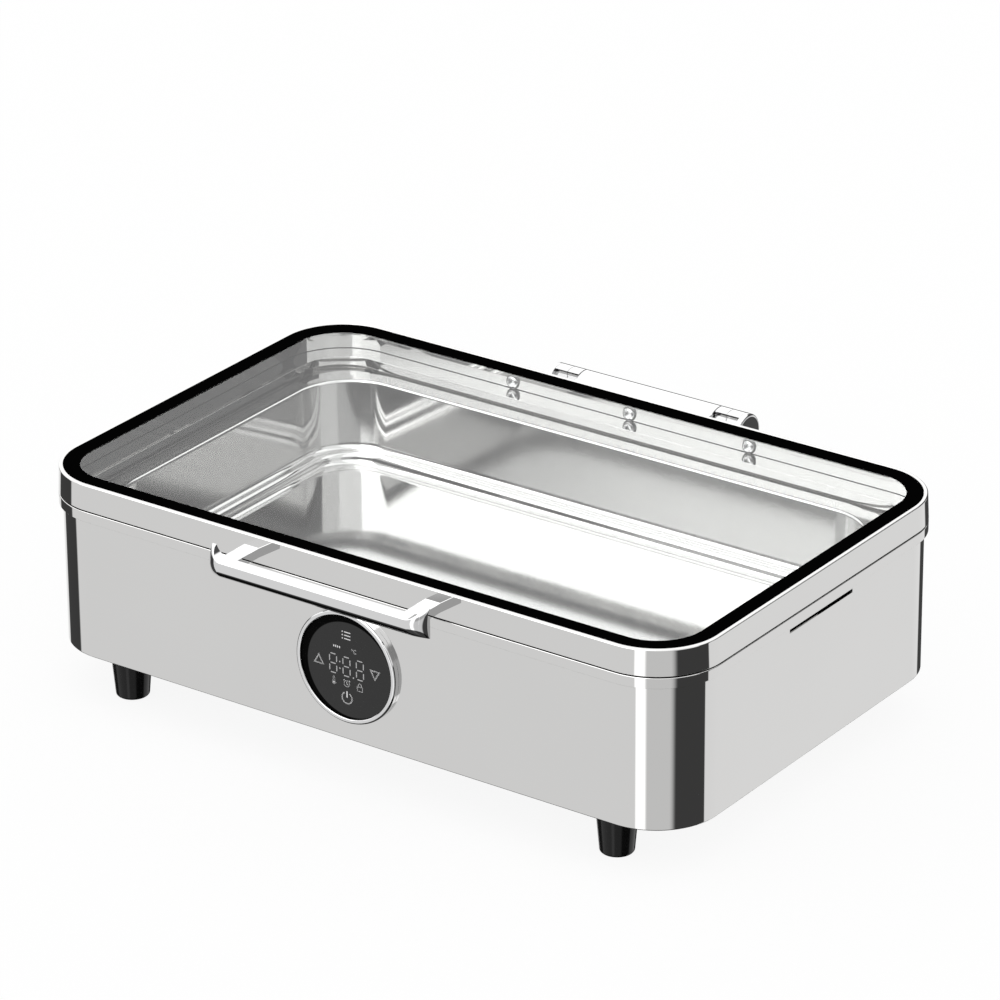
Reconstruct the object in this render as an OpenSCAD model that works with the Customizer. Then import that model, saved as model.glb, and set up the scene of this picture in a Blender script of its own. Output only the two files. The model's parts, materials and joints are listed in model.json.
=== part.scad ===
// Electric chafing dish with a hinged glass lid, a lift-out food pan and a touch panel.
// Frame: origin on the table below the middle of the body, +X to the right, +Y to the hinge, +Z up.
// Lengths are in millimetres.

/* [Food pan] */
// Length of the pan over its flange
pan_l = 530; // [480:1:560]
// Width of the pan over its flange
pan_w = 325; // [290:1:350]
// Depth from the flange's top to the underside of the pan
pan_depth = 65; // [55:0.5:80]
// Width of the flat flange round the pan's mouth
flange_w = 16; // [14:0.5:20]
// Corner radius of the pan's mouth
pan_corner = 46; // [42:1:60]
// Height of the raised floor of the pan's rolled ledge above its underside
ledge_h = 12.5; // [8:0.5:16]
// Width of the ledge round the pan's floor
ledge_w = 18; // [12:0.5:20]
// How far the pan's side leans in from mouth to ledge
pan_draft = 2.5; // [2:0.5:8]
// Sheet thickness of the pan
pan_sheet = 1; // [0.7:0.1:1.2]

/* [Body] */
// Sheet thickness of the shell and the water well
sheet = 1; // [0.8:0.1:1.5]
// Flat land between the pan's recess and the rim's edge at both ends
land_x = 18.5; // [18:0.5:40]
// Flat land between the pan's recess and the rim's edge at front and back
land_y = 17.5; // [17:0.5:30]
// Side clearance of the pan's flange in its recess
recess_clear = 1.5; // [0.5:0.1:3]
// How far the rim stands out over the shell
rim_out = 3; // [2.5:0.5:8]
// Height of the rim's outer band
rim_band = 8; // [7:0.5:12]
// Corner radius of the shell
body_corner = 50; // [44:1:70]
// Radius of the shell's lower edge
bottom_r = 1.5; // [1.5:0.5:8]
// Width of the shell's inward flange at the bottom
bottom_flange = 45; // [42:1:60]
// Overlap of the bottom cover on that flange
cover_lap = 15; // [12:0.5:16]
// Height of the space for heater and electronics under the well
base_room = 26; // [26:0.5:40]
// Depth of the water space below the pan
water_gap = 18.6; // [10:0.2:30]
// Depth of the pan's flange below the top of the rim
pan_recess = 8.2; // [6:0.2:12]
// Width of the ledge that carries the pan's flange
ledge_seat = 10.5; // [9:0.5:12]
// Corner radius of the well
well_corner = 40; // [34:1:46]
// Gap between the pan's flange and the ledge
seat_gap = 0.2; // [0.1:0.1:0.5]
// Length of each side vent slot
vent_l = 82; // [40:1:160]
// Distance of the vent slots behind the middle
vent_back = 4.5; // [-20:0.5:20]
// Height of each side vent slot
vent_h = 3; // [2:0.2:5]
// Depth of the vent slots below the top of the rim
vent_drop = 13; // [11:0.5:20]

/* [Feet] */
// Height of the feet
foot_h = 35; // [25:0.5:50]
// Radius of a foot where it meets the body
foot_top_r = 15.5; // [13:0.5:18]
// Radius of a foot where it stands
foot_low_r = 12.5; // [11:0.5:14]
// Distance of the feet from the shell's ends
foot_in_x = 65.6; // [55:0.2:90]
// Distance of the feet from the shell's front and back
foot_in_y = 25; // [23:0.2:26]

/* [Lid] */
// Height of the lid's frame
lid_h = 20.4; // [19:0.2:30]
// Gap between the lid and the rim
seam_gap = 0.4; // [0.3:0.1:0.8]
// Wall thickness of the lid's frame
lid_wall = 1.5; // [1.2:0.1:2]
// Width of the bright edge outside the seal
edge_w = 5.4; // [5:0.2:9]
// Width of the black seal seen from above
seal_w = 11.7; // [10:0.1:13]
// Thickness of the seal's lips above and below the glass
seal_lip = 0.9; // [0.6:0.1:1.5]
// Thickness of the seal's web round the glass
seal_web = 2; // [1.5:0.1:4]
// Thickness of the glass
glass_t = 4; // [3:0.5:5]
// Clearance of the seal in the frame
seal_clear = 0.2; // [0.1:0.05:0.4]

/* [Handle] */
// Clear finger depth between the lid and the bar
finger_gap = 24; // [18:0.2:40]
// Radius of the half-round bar
bar_r = 11.8; // [10:0.2:14]
// Length of the bar
bar_l = 190; // [180:1:240]
// Corner radius of the bar's ends seen from above
bar_end_r = 10; // [6:0.5:11]
// Drop of the bar's axis below the lid's top
bar_drop = 12; // [11.8:0.1:14]
// Drop of the scooped top of the bar below the lid's top
scoop_drop = 8; // [6:0.2:9]
// Radius where the scoop runs up to the bar's ends
scoop_r = 12; // [8:0.5:16]
// Width of each arm
arm_w = 13.6; // [11:0.2:18]
// Height of each arm
arm_h = 10; // [8:0.2:11]
// Distance between the outer faces of the arms
arm_span = 172.8; // [160:0.2:176]

/* [Hinge] */
// Distance from the rim's edge back to the hinge axis
hinge_reach = 26.5; // [23:0.5:30]
// Radius of the hinge barrel
barrel_r = 16; // [14:0.5:17]
// Length of the lid's part of the barrel
arm_barrel_l = 122.4; // [100:0.2:140]
// Length of each knuckle of the body's bracket
knuckle_l = 10.5; // [8:0.5:16]
// Length of each end cap
cap_l = 16; // [9:0.2:20]
// Length of each cap's bevelled end
cap_end = 4.6; // [3:0.2:6]
// Side gap between lid barrel and knuckles
knuckle_gap = 0.5; // [0.3:0.1:1]
// Radius of the hinge pin
pin_r = 4; // [3.5:0.1:5]
// Running clearance of the bushes on the pin
pin_clear = 0.05; // [0.02:0.01:0.1]
// Radius of the bore that holds bushes and damper
barrel_bore_r = 11; // [9:0.5:12]
// Length of each bush
bush_l = 16; // [10:0.5:24]
// Length of the flange plate on the lid's back wall
hinge_flange_l = 236; // [226:1:280]
// Thickness of the hinge plates
hinge_plate_t = 3; // [2.5:0.5:4]
// Drop of the arm's flat top below the lid's top
arm_top_drop = 8; // [6:0.5:10]
// Width of the bracket's plate on the shell
bracket_l = 166; // [160:1:220]
// Height of the bracket's plate on the shell
bracket_h = 40; // [34:1:60]
// Spacing of the three lid screws
lid_screw_pitch = 107; // [90:1:110]

/* [Control panel] */
// Panel centre right of the middle
panel_x = 3.5; // [-20:0.5:20]
// Panel centre below the top of the rim
panel_drop = 59.4; // [57:0.2:70]
// Outer radius of the bright ring
ring_r = 43.7; // [42:0.1:46]
// Radius of the black glass
panel_glass_r = 39.9; // [38:0.1:40.5]
// How far the ring stands out from the shell
ring_out = 5; // [4.5:0.1:7]
// Depth of the glass below the ring's face
glass_recess = 2; // [0.5:0.1:2]
// Thickness of the panel glass
panel_glass_t = 2; // [1.5:0.1:2.5]
// Radius inside the ring's neck
neck_in_r = 36; // [34:0.2:37]
// Wall of the ring's neck
neck_wall = 2.5; // [2:0.1:2.8]
// Depth of the neck behind the shell's face
neck_l = 8.5; // [7:0.1:10]
// Space left between the housing and the well
housing_clear = 4; // [2:0.5:5]
// Thickness of the circuit boards
board_t = 1.6; // [1:0.2:2]

/* [Power inlet] */
// Inlet centre left of the middle
inlet_x = 180; // [150:1:200]
// Inlet centre above the shell's bottom
inlet_up = 19; // [18:0.5:24]
// Length of the inlet's flange
inlet_flange_l = 50; // [48:0.5:56]
// Height of the inlet's flange
inlet_flange_h = 23; // [22:0.5:24]
// Thickness of the inlet's flange
inlet_flange_t = 3; // [2:0.5:4]
// Length of the inlet's mouth
mouth_l = 25; // [24:0.5:27]
// Height of the inlet's mouth
mouth_h = 17; // [16:0.5:18]
// Depth of the inlet's mouth
mouth_d = 15; // [13:0.5:16]
// Spacing of the inlet's screws
inlet_pitch = 40; // [39:0.5:44]

/* [Heater] */
// Length of the heating plate
plate_l = 300; // [280:1:340]
// Width of the heating plate
plate_w = 150; // [130:1:160]
// Thickness of the heating plate
plate_t = 6; // [4:0.5:7]
// Radius of the sheathed element
tube_r = 3.25; // [3:0.05:3.4]
// Distance between the element's two legs
leg_pitch = 80; // [60:1:110]
// Length of the element's straight legs
leg_l = 220; // [180:1:240]
// Distance between the two clamp bars
bar_pitch = 140; // [100:1:180]

/* [Hidden] */
$fn = 64;
// Overcut that carries a cut past the face it leaves through
cut = 1;
// Thread left over past a nut
thread_over = 1.5;
// Depth of a blind hole past the end of its screw
hole_over = 1;
// Smallest inside corner of a stamped plate
least_corner = 4;

// Outlines
recess_l = pan_l + 2 * recess_clear;
recess_w = pan_w + 2 * recess_clear;
rim_l = recess_l + 2 * land_x;
rim_w = recess_w + 2 * land_y;
body_l = rim_l - 2 * rim_out;
body_w = rim_w - 2 * rim_out;
rim_corner = body_corner + rim_out;
recess_corner = rim_corner - land_y;
well_l = recess_l - 2 * ledge_seat;
well_w = recess_w - 2 * (ledge_seat - recess_clear);
mouth_half_l = pan_l / 2 - flange_w;
mouth_half_w = pan_w / 2 - flange_w;

// Heights
body_z = foot_h;
well_under_z = body_z + base_room;
well_floor_z = well_under_z + sheet;
pan_under_z = well_floor_z + water_gap;
flange_z = pan_under_z + pan_depth;
ledge_z = flange_z - pan_sheet - seat_gap;
rim_z = flange_z + pan_recess;
lid_z = rim_z + seam_gap;
top_z = lid_z + lid_h;
seat_z = top_z - 2 * seal_lip - glass_t;
glass_z = seat_z + seal_lip;
cover_z = body_z + sheet;
deck_z = cover_z + sheet;

// Faces of the shell
front_y = -body_w / 2;
back_y = body_w / 2;
lid_front_y = -rim_w / 2;
lid_back_y = rim_w / 2;
well_wall_y = well_w / 2 + sheet;

// Feet and bottom fasteners
foot_x = body_l / 2 - foot_in_x;
foot_y = body_w / 2 - foot_in_y;
foot_bore_r = 2.3;
foot_well_r = 5;
foot_well_h = 20;
foot_screw_r = 2;
foot_head_r = 4.2;
foot_head_h = 3;
nut_h = 3.2;
nut_r = 4;
nut_clear = 0.05;
foot_screw_l = foot_h - foot_well_h + sheet + nut_h + thread_over;
flange_in_l = body_l - 2 * bottom_flange;
flange_in_w = body_w - 2 * bottom_flange;
flange_in_r = max(least_corner, body_corner - bottom_flange);
cover_l = flange_in_l + 2 * cover_lap;
cover_w = flange_in_w + 2 * cover_lap;
cover_r = flange_in_r + cover_lap;
cover_screw_r = 1.5;
cover_screw_hole = 1.7;
cover_screw_x = flange_in_l / 2 + cover_lap / 2;
cover_screw_y = flange_in_w / 2 + cover_lap / 2;
cover_screw_at_x = 80;
cover_screw_at_y = 60;
cover_quarter = [[cover_screw_at_x, cover_screw_y], [cover_screw_x, cover_screw_at_y]];
cover_points = [for (sx = [-1, 1], sy = [-1, 1], p = cover_quarter) [sx * p[0], sy * p[1]]];

// Hinge
axis_y = lid_back_y + hinge_reach;
axis_z = rim_z;
arm_half = arm_barrel_l / 2;
knuckle_in = arm_half + knuckle_gap;
knuckle_out = knuckle_in + knuckle_l;
cap_out = knuckle_out + cap_l;
notch_y = 5.9;
notch_z = 8.5;
web_front_a = 30;
web_back_a = 40;
cap_floor = 1;
cap_bevel = 3;
pin_end = cap_out - cap_end - cap_floor;
fit_clear = 0.02;
bracket_under_rim = 2;
bracket_top_z = rim_z - rim_band - bracket_under_rim;
bracket_low_z = bracket_top_z - bracket_h;
bracket_screw_x = 40;
bracket_screw_in = 8;
bracket_screw_r = 2;
bracket_hole_r = 2.2;
hinge_flange_h = 15;
hinge_flange_up = 1.3;
hinge_flange_z = lid_z + hinge_flange_up;
arm_low = 1;
lid_screw_up = 5.4;
lid_screw_z = lid_z + lid_screw_up;
lid_screw_short = 0.2;
lid_screw_r = 2.4;
lid_screw_hole = 2.6;
lid_screw_head_r = 5;
lid_screw_head_h = 3;

// Handle
bar_back_y = lid_front_y - finger_gap;
bar_z = top_z - bar_drop;
scoop_z = top_z - scoop_drop;
arm_mid_x = arm_span / 2 - arm_w / 2;
arm_z = scoop_z - arm_h;
tip_l = 3;
scoop_half = bar_l / 2 - scoop_r - tip_l;
arm_lap = 0.8;
handle_screw_r = 2;
handle_hole_r = 2.2;
handle_screw_depth = 12;
handle_head_r = 4;
handle_head_h = 2.5;

// Control panel
panel_z = rim_z - panel_drop;
glass_front_y = front_y - ring_out + glass_recess;
glass_back_y = glass_front_y + panel_glass_t;
glass_clear = 0.1;
glass_pocket_r = panel_glass_r + glass_clear;
neck_out_r = neck_in_r + neck_wall;
neck_end_y = front_y + neck_l;
neck_clear = 0.5;
panel_hole_r = neck_out_r + neck_clear;
housing_lap = 5.5;
housing_r = neck_out_r + housing_lap;
housing_back_y = -well_wall_y - housing_clear;
housing_wall = 1.5;
housing_fit = 0.1;
housing_ring = 0.5;
board_lap = 1;
board_seat_r = neck_in_r + board_lap;
board_back_y = neck_end_y + board_t;
display_l = 40;
display_h = 18;
display_d = 8;
touch_r = 24.6;
spring_r = 2.6;
spring_wall = 0.5;
ribbon_w = 20;
ribbon_t = 1.2;
ribbon_off = 3;
ribbon_clear = 0.8;
ribbon_lap = 10;
ribbon_y = board_back_y + ribbon_off;
ribbon_up = 30;

// Power board
board_l = 120;
board_w = 66;
standoff_h = 6;
standoff_r = 3;
standoff_floor = 1;
board_z = deck_z + standoff_h;
board_top_z = board_z + board_t;
board_out = 1.5;
board_y = -cover_w / 2 + board_w / 2 - board_out;
board_hole_in = 6;
board_points = [for (sx = [-1, 1], sy = [-1, 1])
  [sx * (board_l / 2 - board_hole_in), board_y + sy * (board_w / 2 - board_hole_in)]];
board_screw_r = 1.4;
board_screw_hole = 1.6;
relay_size = [28, 13, 13];
relay_at = [30, 5];
transformer_size = [26, 22, 13.5];
transformer_at = [-10, 14];
capacitor_r = 5;
capacitor_h = 13;
capacitor_at = [25, -14];
terminal_size = [30, 12, 12];
terminal_in = 2;
terminal_off = 10;
terminal_x = -board_l / 2 + terminal_in;
terminal_y = board_y - terminal_off;
lead_r = 1.5;
lead_pitch = 5;
mains_lead_up = 2.9;
mains_lead_z = board_top_z + mains_lead_up;

// Inlet
inlet_z = body_z + inlet_up;
inlet_wall = 1.5;
inlet_clear = 0.5;
inlet_hole_l = mouth_l + 2 * inlet_wall + 2 * inlet_clear;
inlet_hole_h = mouth_h + 2 * inlet_wall + 2 * inlet_clear;
inlet_back_y = back_y - mouth_d - inlet_wall;
tab_l = 8;
tab_end_y = inlet_back_y - tab_l;
live_x = 5;
live_drop = inlet_z - mains_lead_z;
earth_up = 5;
blade_w = 2;
blade_h = 4;
blade_in = 3;
blade_clear = 0.05;
inlet_screw_r = 1.6;
inlet_screw_hole = 1.8;
inlet_screw_l = 8;
earth_stud_r = 2.5;
earth_stud_h = 4;
earth_run = 10;
earth_y = tab_end_y - earth_run;

// Heater
plate_z = well_under_z - plate_t;
plate_y = 10;
tube_gap = 0.1;
tube_z = plate_z - tube_gap - tube_r;
leg_shift = 10;
leg_x0 = -leg_l / 2 - leg_shift;
cold_pin_r = 2;
cold_pin_l = 20;
clamp_w = 10;
clamp_t = 1.5;
clamp_top_z = tube_z - tube_r - tube_gap;
clamp_z = clamp_top_z - clamp_t;
stud_r = 2.5;
stud_hole = 2.8;
stud_pitch = 30;
stud_over = 0.6;
stud_end_z = clamp_z - nut_h - stud_over;
stud_points = [for (sx = [-1, 1], sy = [-1, 1]) [sx * bar_pitch / 2, plate_y + sy * stud_pitch / 2]];
cutoff_r = 8;
sensor_r = 4;
sensor_h = 7;
sensor_gap = 20;
sensor_x = -plate_l / 2 - sensor_gap;
shield_l = plate_l;
shield_w = 130;
shield_t = 0.8;
shield_h = 4.6;
mat_t = 3.4;
lead_turn = 8;
lead_row = 6;
lead_a_x = leg_x0 - cold_pin_l - lead_turn;
lead_b_x = lead_a_x - lead_row;

// Bends of the food pan
mouth_r = 2;
pan_turn = 5;
ledge_fall = 1;
ledge_step = 4;
floor_blend = 2;

// Colours
steel = [0.78, 0.78, 0.78];
bright = [0.86, 0.86, 0.87];
black = [0.05, 0.05, 0.05];
zinc = [0.62, 0.63, 0.65];

// Rounded rectangle about the origin
module rounded(l, w, r) {
  square([l - 2 * r, w], center = true);
  square([l, w - 2 * r], center = true);
  for (sx = [-1, 1], sy = [-1, 1])
    translate([sx * (l / 2 - r), sy * (w / 2 - r)]) circle(r);
}

// Upright block with a rounded outline from z0 to z1
module block(l, w, r, z0, z1) {
  translate([0, 0, z0]) linear_extrude(z1 - z0) rounded(l, w, r);
}

// Sweeps a profile round a rounded rectangle: profile x is outwards from the outline, y is height
module swept(l, w, r) {
  for (mx = [0, 1], my = [0, 1]) mirror([mx, 0, 0]) mirror([0, my, 0])
    translate([l / 2 - r, w / 2 - r, 0]) rotate_extrude(angle = 90) translate([r, 0]) children();
  for (my = [0, 1]) mirror([0, my, 0])
    translate([0, w / 2, 0]) rotate([90, 0, 90]) linear_extrude(l - 2 * r, center = true) children();
  for (mx = [0, 1]) mirror([mx, 0, 0])
    translate([l / 2, 0, 0]) rotate([90, 0, 0]) linear_extrude(w - 2 * r, center = true) children();
}

// Cylinder along +Y from y0 to y1
module along_y(r, y0, y1) {
  translate([0, y0, 0]) rotate([-90, 0, 0]) cylinder(r = r, h = y1 - y0);
}

// Cylinder along +X from x0 to x1
module along_x(r, x0, x1) {
  translate([x0, 0, 0]) rotate([0, 90, 0]) cylinder(r = r, h = x1 - x0);
}

// Screw whose head sits below z = 0 and whose shank runs up
module screw(head_r, head_h, shank_r, length) {
  translate([0, 0, -head_h]) cylinder(r = head_r, h = head_h);
  cylinder(r = shank_r, h = length);
}

// Hexagon nut standing on z = 0
module nut(bore_r, height) {
  difference() {
    cylinder(r = nut_r, h = height, $fn = 6);
    translate([0, 0, -cut]) cylinder(r = bore_r, h = height + 2 * cut);
  }
}

// Lead through a list of points, with round corners
module lead(points, r) {
  for (i = [0 : len(points) - 2]) {
    d = points[i + 1] - points[i];
    length = norm(d);
    translate(points[i]) rotate([0, acos(d[2] / length), atan2(d[1], d[0])]) cylinder(r = r, h = length);
  }
  for (i = [1 : len(points) - 2]) translate(points[i]) sphere(r);
}

// Unit vector across a step from p to q
function across(p, q) = let (d = q - p) [-d[1], d[0]] / norm(d);

// Point i of a line moved sideways by t, with mitred corners
function moved(p, i, t) =
  let (a = across(p[max(i - 1, 0)], p[max(i, 1)]),
       b = across(p[min(i, len(p) - 2)], p[min(i + 1, len(p) - 1)]))
  p[i] + t * (a + b) / (1 + a * b);

// Outline of a folded sheet: one face along the line p, the other t to its left
function folded(p, t) = concat(p, [for (i = [len(p) - 1 : -1 : 0]) moved(p, i, t)]);

// Points of an arc about c
function arc(c, r, a0, a1, steps) =
  [for (i = [0 : steps]) let (a = a0 + (a1 - a0) * i / steps) c + r * [cos(a), sin(a)]];

module at_feet() {
  for (sx = [-1, 1], sy = [-1, 1]) translate([sx * foot_x, sy * foot_y, 0]) children();
}

module at_bracket_screws() {
  for (sx = [-1, 1], z = [bracket_low_z + bracket_screw_in, bracket_top_z - bracket_screw_in])
    translate([sx * bracket_screw_x, 0, z]) children();
}

module at_inlet_screws() {
  for (s = [-1, 1]) translate([-inlet_x + s * inlet_pitch / 2, 0, inlet_z]) children();
}

module at_panel() {
  translate([panel_x, 0, panel_z]) children();
}

module at_axis() {
  translate([0, axis_y, axis_z]) children();
}

module at_cover_screws() {
  for (p = cover_points) translate([p[0], p[1], 0]) children();
}

module at_board_screws() {
  for (p = board_points) translate([p[0], p[1], 0]) children();
}

module at_studs() {
  for (p = stud_points) translate([p[0], p[1], 0]) children();
}

module at_lid_screws() {
  for (i = [-1 : 1]) translate([i * lid_screw_pitch, 0, lid_screw_z]) children();
}

module at_handle_screws() {
  for (s = [-1, 1]) translate([s * arm_mid_x, 0, arm_z + arm_h / 2]) children();
}

// Body

module outer_shell() color(steel) {
  difference() {
    union() {
      difference() {
        block(body_l, body_w, body_corner, body_z + bottom_r, rim_z - sheet);
        block(body_l - 2 * sheet, body_w - 2 * sheet, body_corner - sheet, body_z, rim_z);
      }
      swept(body_l, body_w, body_corner) intersection() {
        difference() {
          translate([-bottom_r, body_z + bottom_r]) circle(bottom_r);
          translate([-bottom_r, body_z + bottom_r]) circle(bottom_r - sheet);
        }
        translate([-bottom_r, body_z]) square(bottom_r);
      }
      difference() {
        block(body_l - 2 * bottom_r, body_w - 2 * bottom_r, body_corner - bottom_r, body_z, cover_z);
        block(flange_in_l, flange_in_w, flange_in_r, body_z - cut, cover_z + cut);
      }
    }
    at_panel() along_y(panel_hole_r, front_y - cut, front_y + sheet + cut);
    for (s = [-1, 1]) translate([s * body_l / 2, vent_back, rim_z - vent_drop])
      cube([4 * sheet, vent_l, vent_h], center = true);
    translate([-inlet_x, back_y, inlet_z])
      cube([inlet_hole_l, 4 * sheet, inlet_hole_h], center = true);
    at_inlet_screws() along_y(inlet_screw_hole, back_y - 2 * sheet, back_y + cut);
    at_bracket_screws() along_y(bracket_hole_r, back_y - 2 * sheet, back_y + cut);
    at_feet() translate([0, 0, body_z - cut]) cylinder(r = foot_bore_r, h = sheet + 2 * cut);
    at_cover_screws() translate([0, 0, body_z - cut]) cylinder(r = cover_screw_hole, h = sheet + 2 * cut);
  }
}

module water_pan() color(steel) {
  lip_clear = 0.2;
  difference() {
    union() {
      block(rim_l, rim_w, rim_corner, rim_z - rim_band, rim_z);
      block(recess_l + 2 * sheet, recess_w + 2 * sheet, recess_corner + sheet, ledge_z - sheet, rim_z);
      block(well_l + 2 * sheet, well_w + 2 * sheet, well_corner + sheet, well_under_z, ledge_z);
    }
    difference() {
      block(rim_l - 2 * sheet, rim_w - 2 * sheet, rim_corner - sheet,
        rim_z - rim_band + sheet, rim_z - sheet);
      block(recess_l + 2 * sheet, recess_w + 2 * sheet, recess_corner + sheet, ledge_z - sheet, rim_z);
    }
    difference() {
      block(body_l + 2 * lip_clear, body_w + 2 * lip_clear, body_corner + lip_clear,
        rim_z - rim_band - cut, rim_z - rim_band + sheet + cut);
      block(recess_l + 2 * sheet, recess_w + 2 * sheet, recess_corner + sheet, ledge_z - sheet, rim_z);
    }
    block(recess_l, recess_w, recess_corner, ledge_z, rim_z + cut);
    block(well_l, well_w, well_corner, well_floor_z, rim_z);
  }
}

module bottom_cover() color(zinc) difference() {
  block(cover_l, cover_w, cover_r, cover_z, deck_z);
  at_cover_screws() translate([0, 0, cover_z - cut]) cylinder(r = cover_screw_hole, h = sheet + 2 * cut);
}

module bottom_screws() color(zinc) at_cover_screws()
  translate([0, 0, body_z]) screw(2 * cover_screw_r, cover_screw_r, cover_screw_r, 3 * sheet);

module foot(sx, sy) color(black) translate([sx * foot_x, sy * foot_y, 0]) difference() {
  cylinder(r1 = foot_low_r, r2 = foot_top_r, h = foot_h);
  translate([0, 0, -cut]) cylinder(r = foot_well_r, h = foot_well_h + cut);
  cylinder(r = foot_bore_r, h = foot_h + cut);
}

module foot_screws() color(zinc) at_feet() translate([0, 0, foot_well_h])
  screw(foot_head_r, foot_head_h, foot_screw_r, foot_screw_l);

module foot_nuts() color(zinc) at_feet() translate([0, 0, cover_z]) nut(foot_screw_r + nut_clear, nut_h);

// Control panel

module panel_bezel() color(bright) at_panel() difference() {
  union() {
    along_y(ring_r, front_y - ring_out, front_y);
    along_y(neck_out_r, front_y, neck_end_y);
  }
  along_y(glass_pocket_r, front_y - ring_out - cut, glass_back_y);
  along_y(neck_in_r, front_y - ring_out, neck_end_y + cut);
}

module panel_glass() color([0.19, 0.19, 0.2]) at_panel() along_y(panel_glass_r, glass_front_y, glass_back_y);

module panel_housing() color(black) difference() {
  at_panel() difference() {
    along_y(housing_r, front_y + sheet, housing_back_y);
    along_y(neck_out_r + housing_fit, front_y, neck_end_y);
    along_y(board_seat_r + 2 * housing_fit, front_y, board_back_y);
    along_y(neck_in_r - housing_ring, front_y, housing_back_y - housing_wall);
  }
  translate([panel_x, ribbon_y, panel_z - housing_r])
    cube([ribbon_w + 2 * ribbon_clear, ribbon_t + 2 * ribbon_clear, 2 * (housing_r - ribbon_up)],
      center = true);
}

module display_board() color([0.1, 0.35, 0.2]) at_panel() along_y(board_seat_r, neck_end_y, board_back_y);

module digit_display() color([0.85, 0.85, 0.82])
  translate([panel_x, neck_end_y - display_d / 2, panel_z])
    cube([display_l, display_d, display_h], center = true);

module touch_springs() color(zinc) at_panel() for (a = [0 : 90 : 270])
  translate([touch_r * cos(a), 0, touch_r * sin(a)]) difference() {
    along_y(spring_r, glass_back_y, neck_end_y);
    along_y(spring_r - spring_wall, glass_back_y - cut, neck_end_y + cut);
  }

module panel_cable() color([0.75, 0.75, 0.75]) translate([panel_x - ribbon_w / 2, 0, 0]) {
  translate([0, board_back_y, panel_z - ribbon_up])
    cube([ribbon_w, ribbon_y + ribbon_t / 2 - board_back_y, ribbon_t]);
  translate([0, ribbon_y - ribbon_t / 2, board_top_z])
    cube([ribbon_w, ribbon_t, panel_z - ribbon_up - board_top_z]);
  translate([0, ribbon_y - ribbon_t / 2, board_top_z])
    cube([ribbon_w, board_y - board_w / 2 + ribbon_lap - ribbon_y, ribbon_t]);
}

// Power board

module power_board() color([0.1, 0.35, 0.2]) difference() {
  translate([-board_l / 2, board_y - board_w / 2, board_z]) cube([board_l, board_w, board_t]);
  at_board_screws() translate([0, 0, board_z - cut]) cylinder(r = board_screw_hole, h = board_t + 2 * cut);
}

module board_standoffs() color(zinc) at_board_screws() translate([0, 0, deck_z]) difference() {
  cylinder(r = standoff_r, h = standoff_h);
  translate([0, 0, standoff_floor]) cylinder(r = board_screw_r + nut_clear, h = standoff_h);
}

module board_screws() color(zinc) at_board_screws() translate([0, 0, board_top_z]) mirror([0, 0, 1])
  screw(2 * board_screw_r, board_screw_r, board_screw_r, board_t + standoff_h - 2 * standoff_floor);

// Puts a piece on the board, at p from the board's middle
module on_board(p) translate([p[0], board_y + p[1], board_top_z]) children();

// Block of a given size standing on z = 0
module brick(size) translate([-size[0] / 2, -size[1] / 2, 0]) cube(size);

module relay() color([0.15, 0.3, 0.6]) on_board(relay_at) brick(relay_size);

module transformer() color([0.8, 0.7, 0.2]) on_board(transformer_at) brick(transformer_size);

module capacitor() color([0.2, 0.2, 0.25]) on_board(capacitor_at) cylinder(r = capacitor_r, h = capacitor_h);

module terminal_block() color([0.2, 0.45, 0.25])
  translate([terminal_x, terminal_y - terminal_size[1] / 2, board_top_z]) cube(terminal_size);

// Power inlet

module inlet_socket() color(black) difference() {
  translate([-inlet_x, 0, inlet_z]) difference() {
    union() {
      translate([0, back_y + inlet_flange_t / 2, 0])
        cube([inlet_flange_l, inlet_flange_t, inlet_flange_h], center = true);
      translate([0, (back_y + inlet_back_y) / 2, 0])
        cube([mouth_l + 2 * inlet_wall, back_y - inlet_back_y, mouth_h + 2 * inlet_wall], center = true);
    }
    translate([0, back_y + inlet_flange_t - mouth_d / 2, 0]) cube([mouth_l, mouth_d, mouth_h], center = true);
    inlet_blades(blade_clear);
  }
  at_inlet_screws() along_y(inlet_screw_hole, back_y - cut, back_y + inlet_flange_t + cut);
}

// The three blades of the inlet about its centre, grown by g
module inlet_blades(g) {
  blade_out_y = back_y + inlet_flange_t - blade_in;
  for (p = [[-live_x, -live_drop], [live_x, -live_drop], [0, earth_up]])
    translate([p[0] - blade_w / 2 - g, tab_end_y, p[1] - blade_h / 2 - g])
      cube([blade_w + 2 * g, blade_out_y - tab_end_y, blade_h + 2 * g]);
}

module inlet_pins() color(zinc) translate([-inlet_x, 0, inlet_z]) inlet_blades(0);

module inlet_screws() color(zinc) at_inlet_screws()
  translate([0, back_y + inlet_flange_t, 0]) rotate([90, 0, 0])
    screw(2 * inlet_screw_r, inlet_screw_r, inlet_screw_r, inlet_screw_l);

module mains_leads() color([0.35, 0.2, 0.1]) for (s = [-1, 1]) lead([
  [-inlet_x + s * live_x, tab_end_y, mains_lead_z],
  [-inlet_x + s * live_x, terminal_y + s * lead_pitch / 2, mains_lead_z],
  [terminal_x, terminal_y + s * lead_pitch / 2, mains_lead_z]], lead_r);

module earth_stud() color(zinc)
  translate([-inlet_x, earth_y, deck_z]) cylinder(r = earth_stud_r, h = earth_stud_h);

module earth_lead() color([0.4, 0.6, 0.1]) lead([
  [-inlet_x, tab_end_y, inlet_z + earth_up],
  [-inlet_x, earth_y, inlet_z + earth_up],
  [-inlet_x, earth_y, deck_z + earth_stud_h]], lead_r);

// Heater

module heater_plate() color(zinc) difference() {
  translate([-plate_l / 2, plate_y - plate_w / 2, plate_z]) cube([plate_l, plate_w, plate_t]);
  at_studs() translate([0, 0, plate_z - cut]) cylinder(r = stud_hole, h = plate_t + 2 * cut);
}

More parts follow.
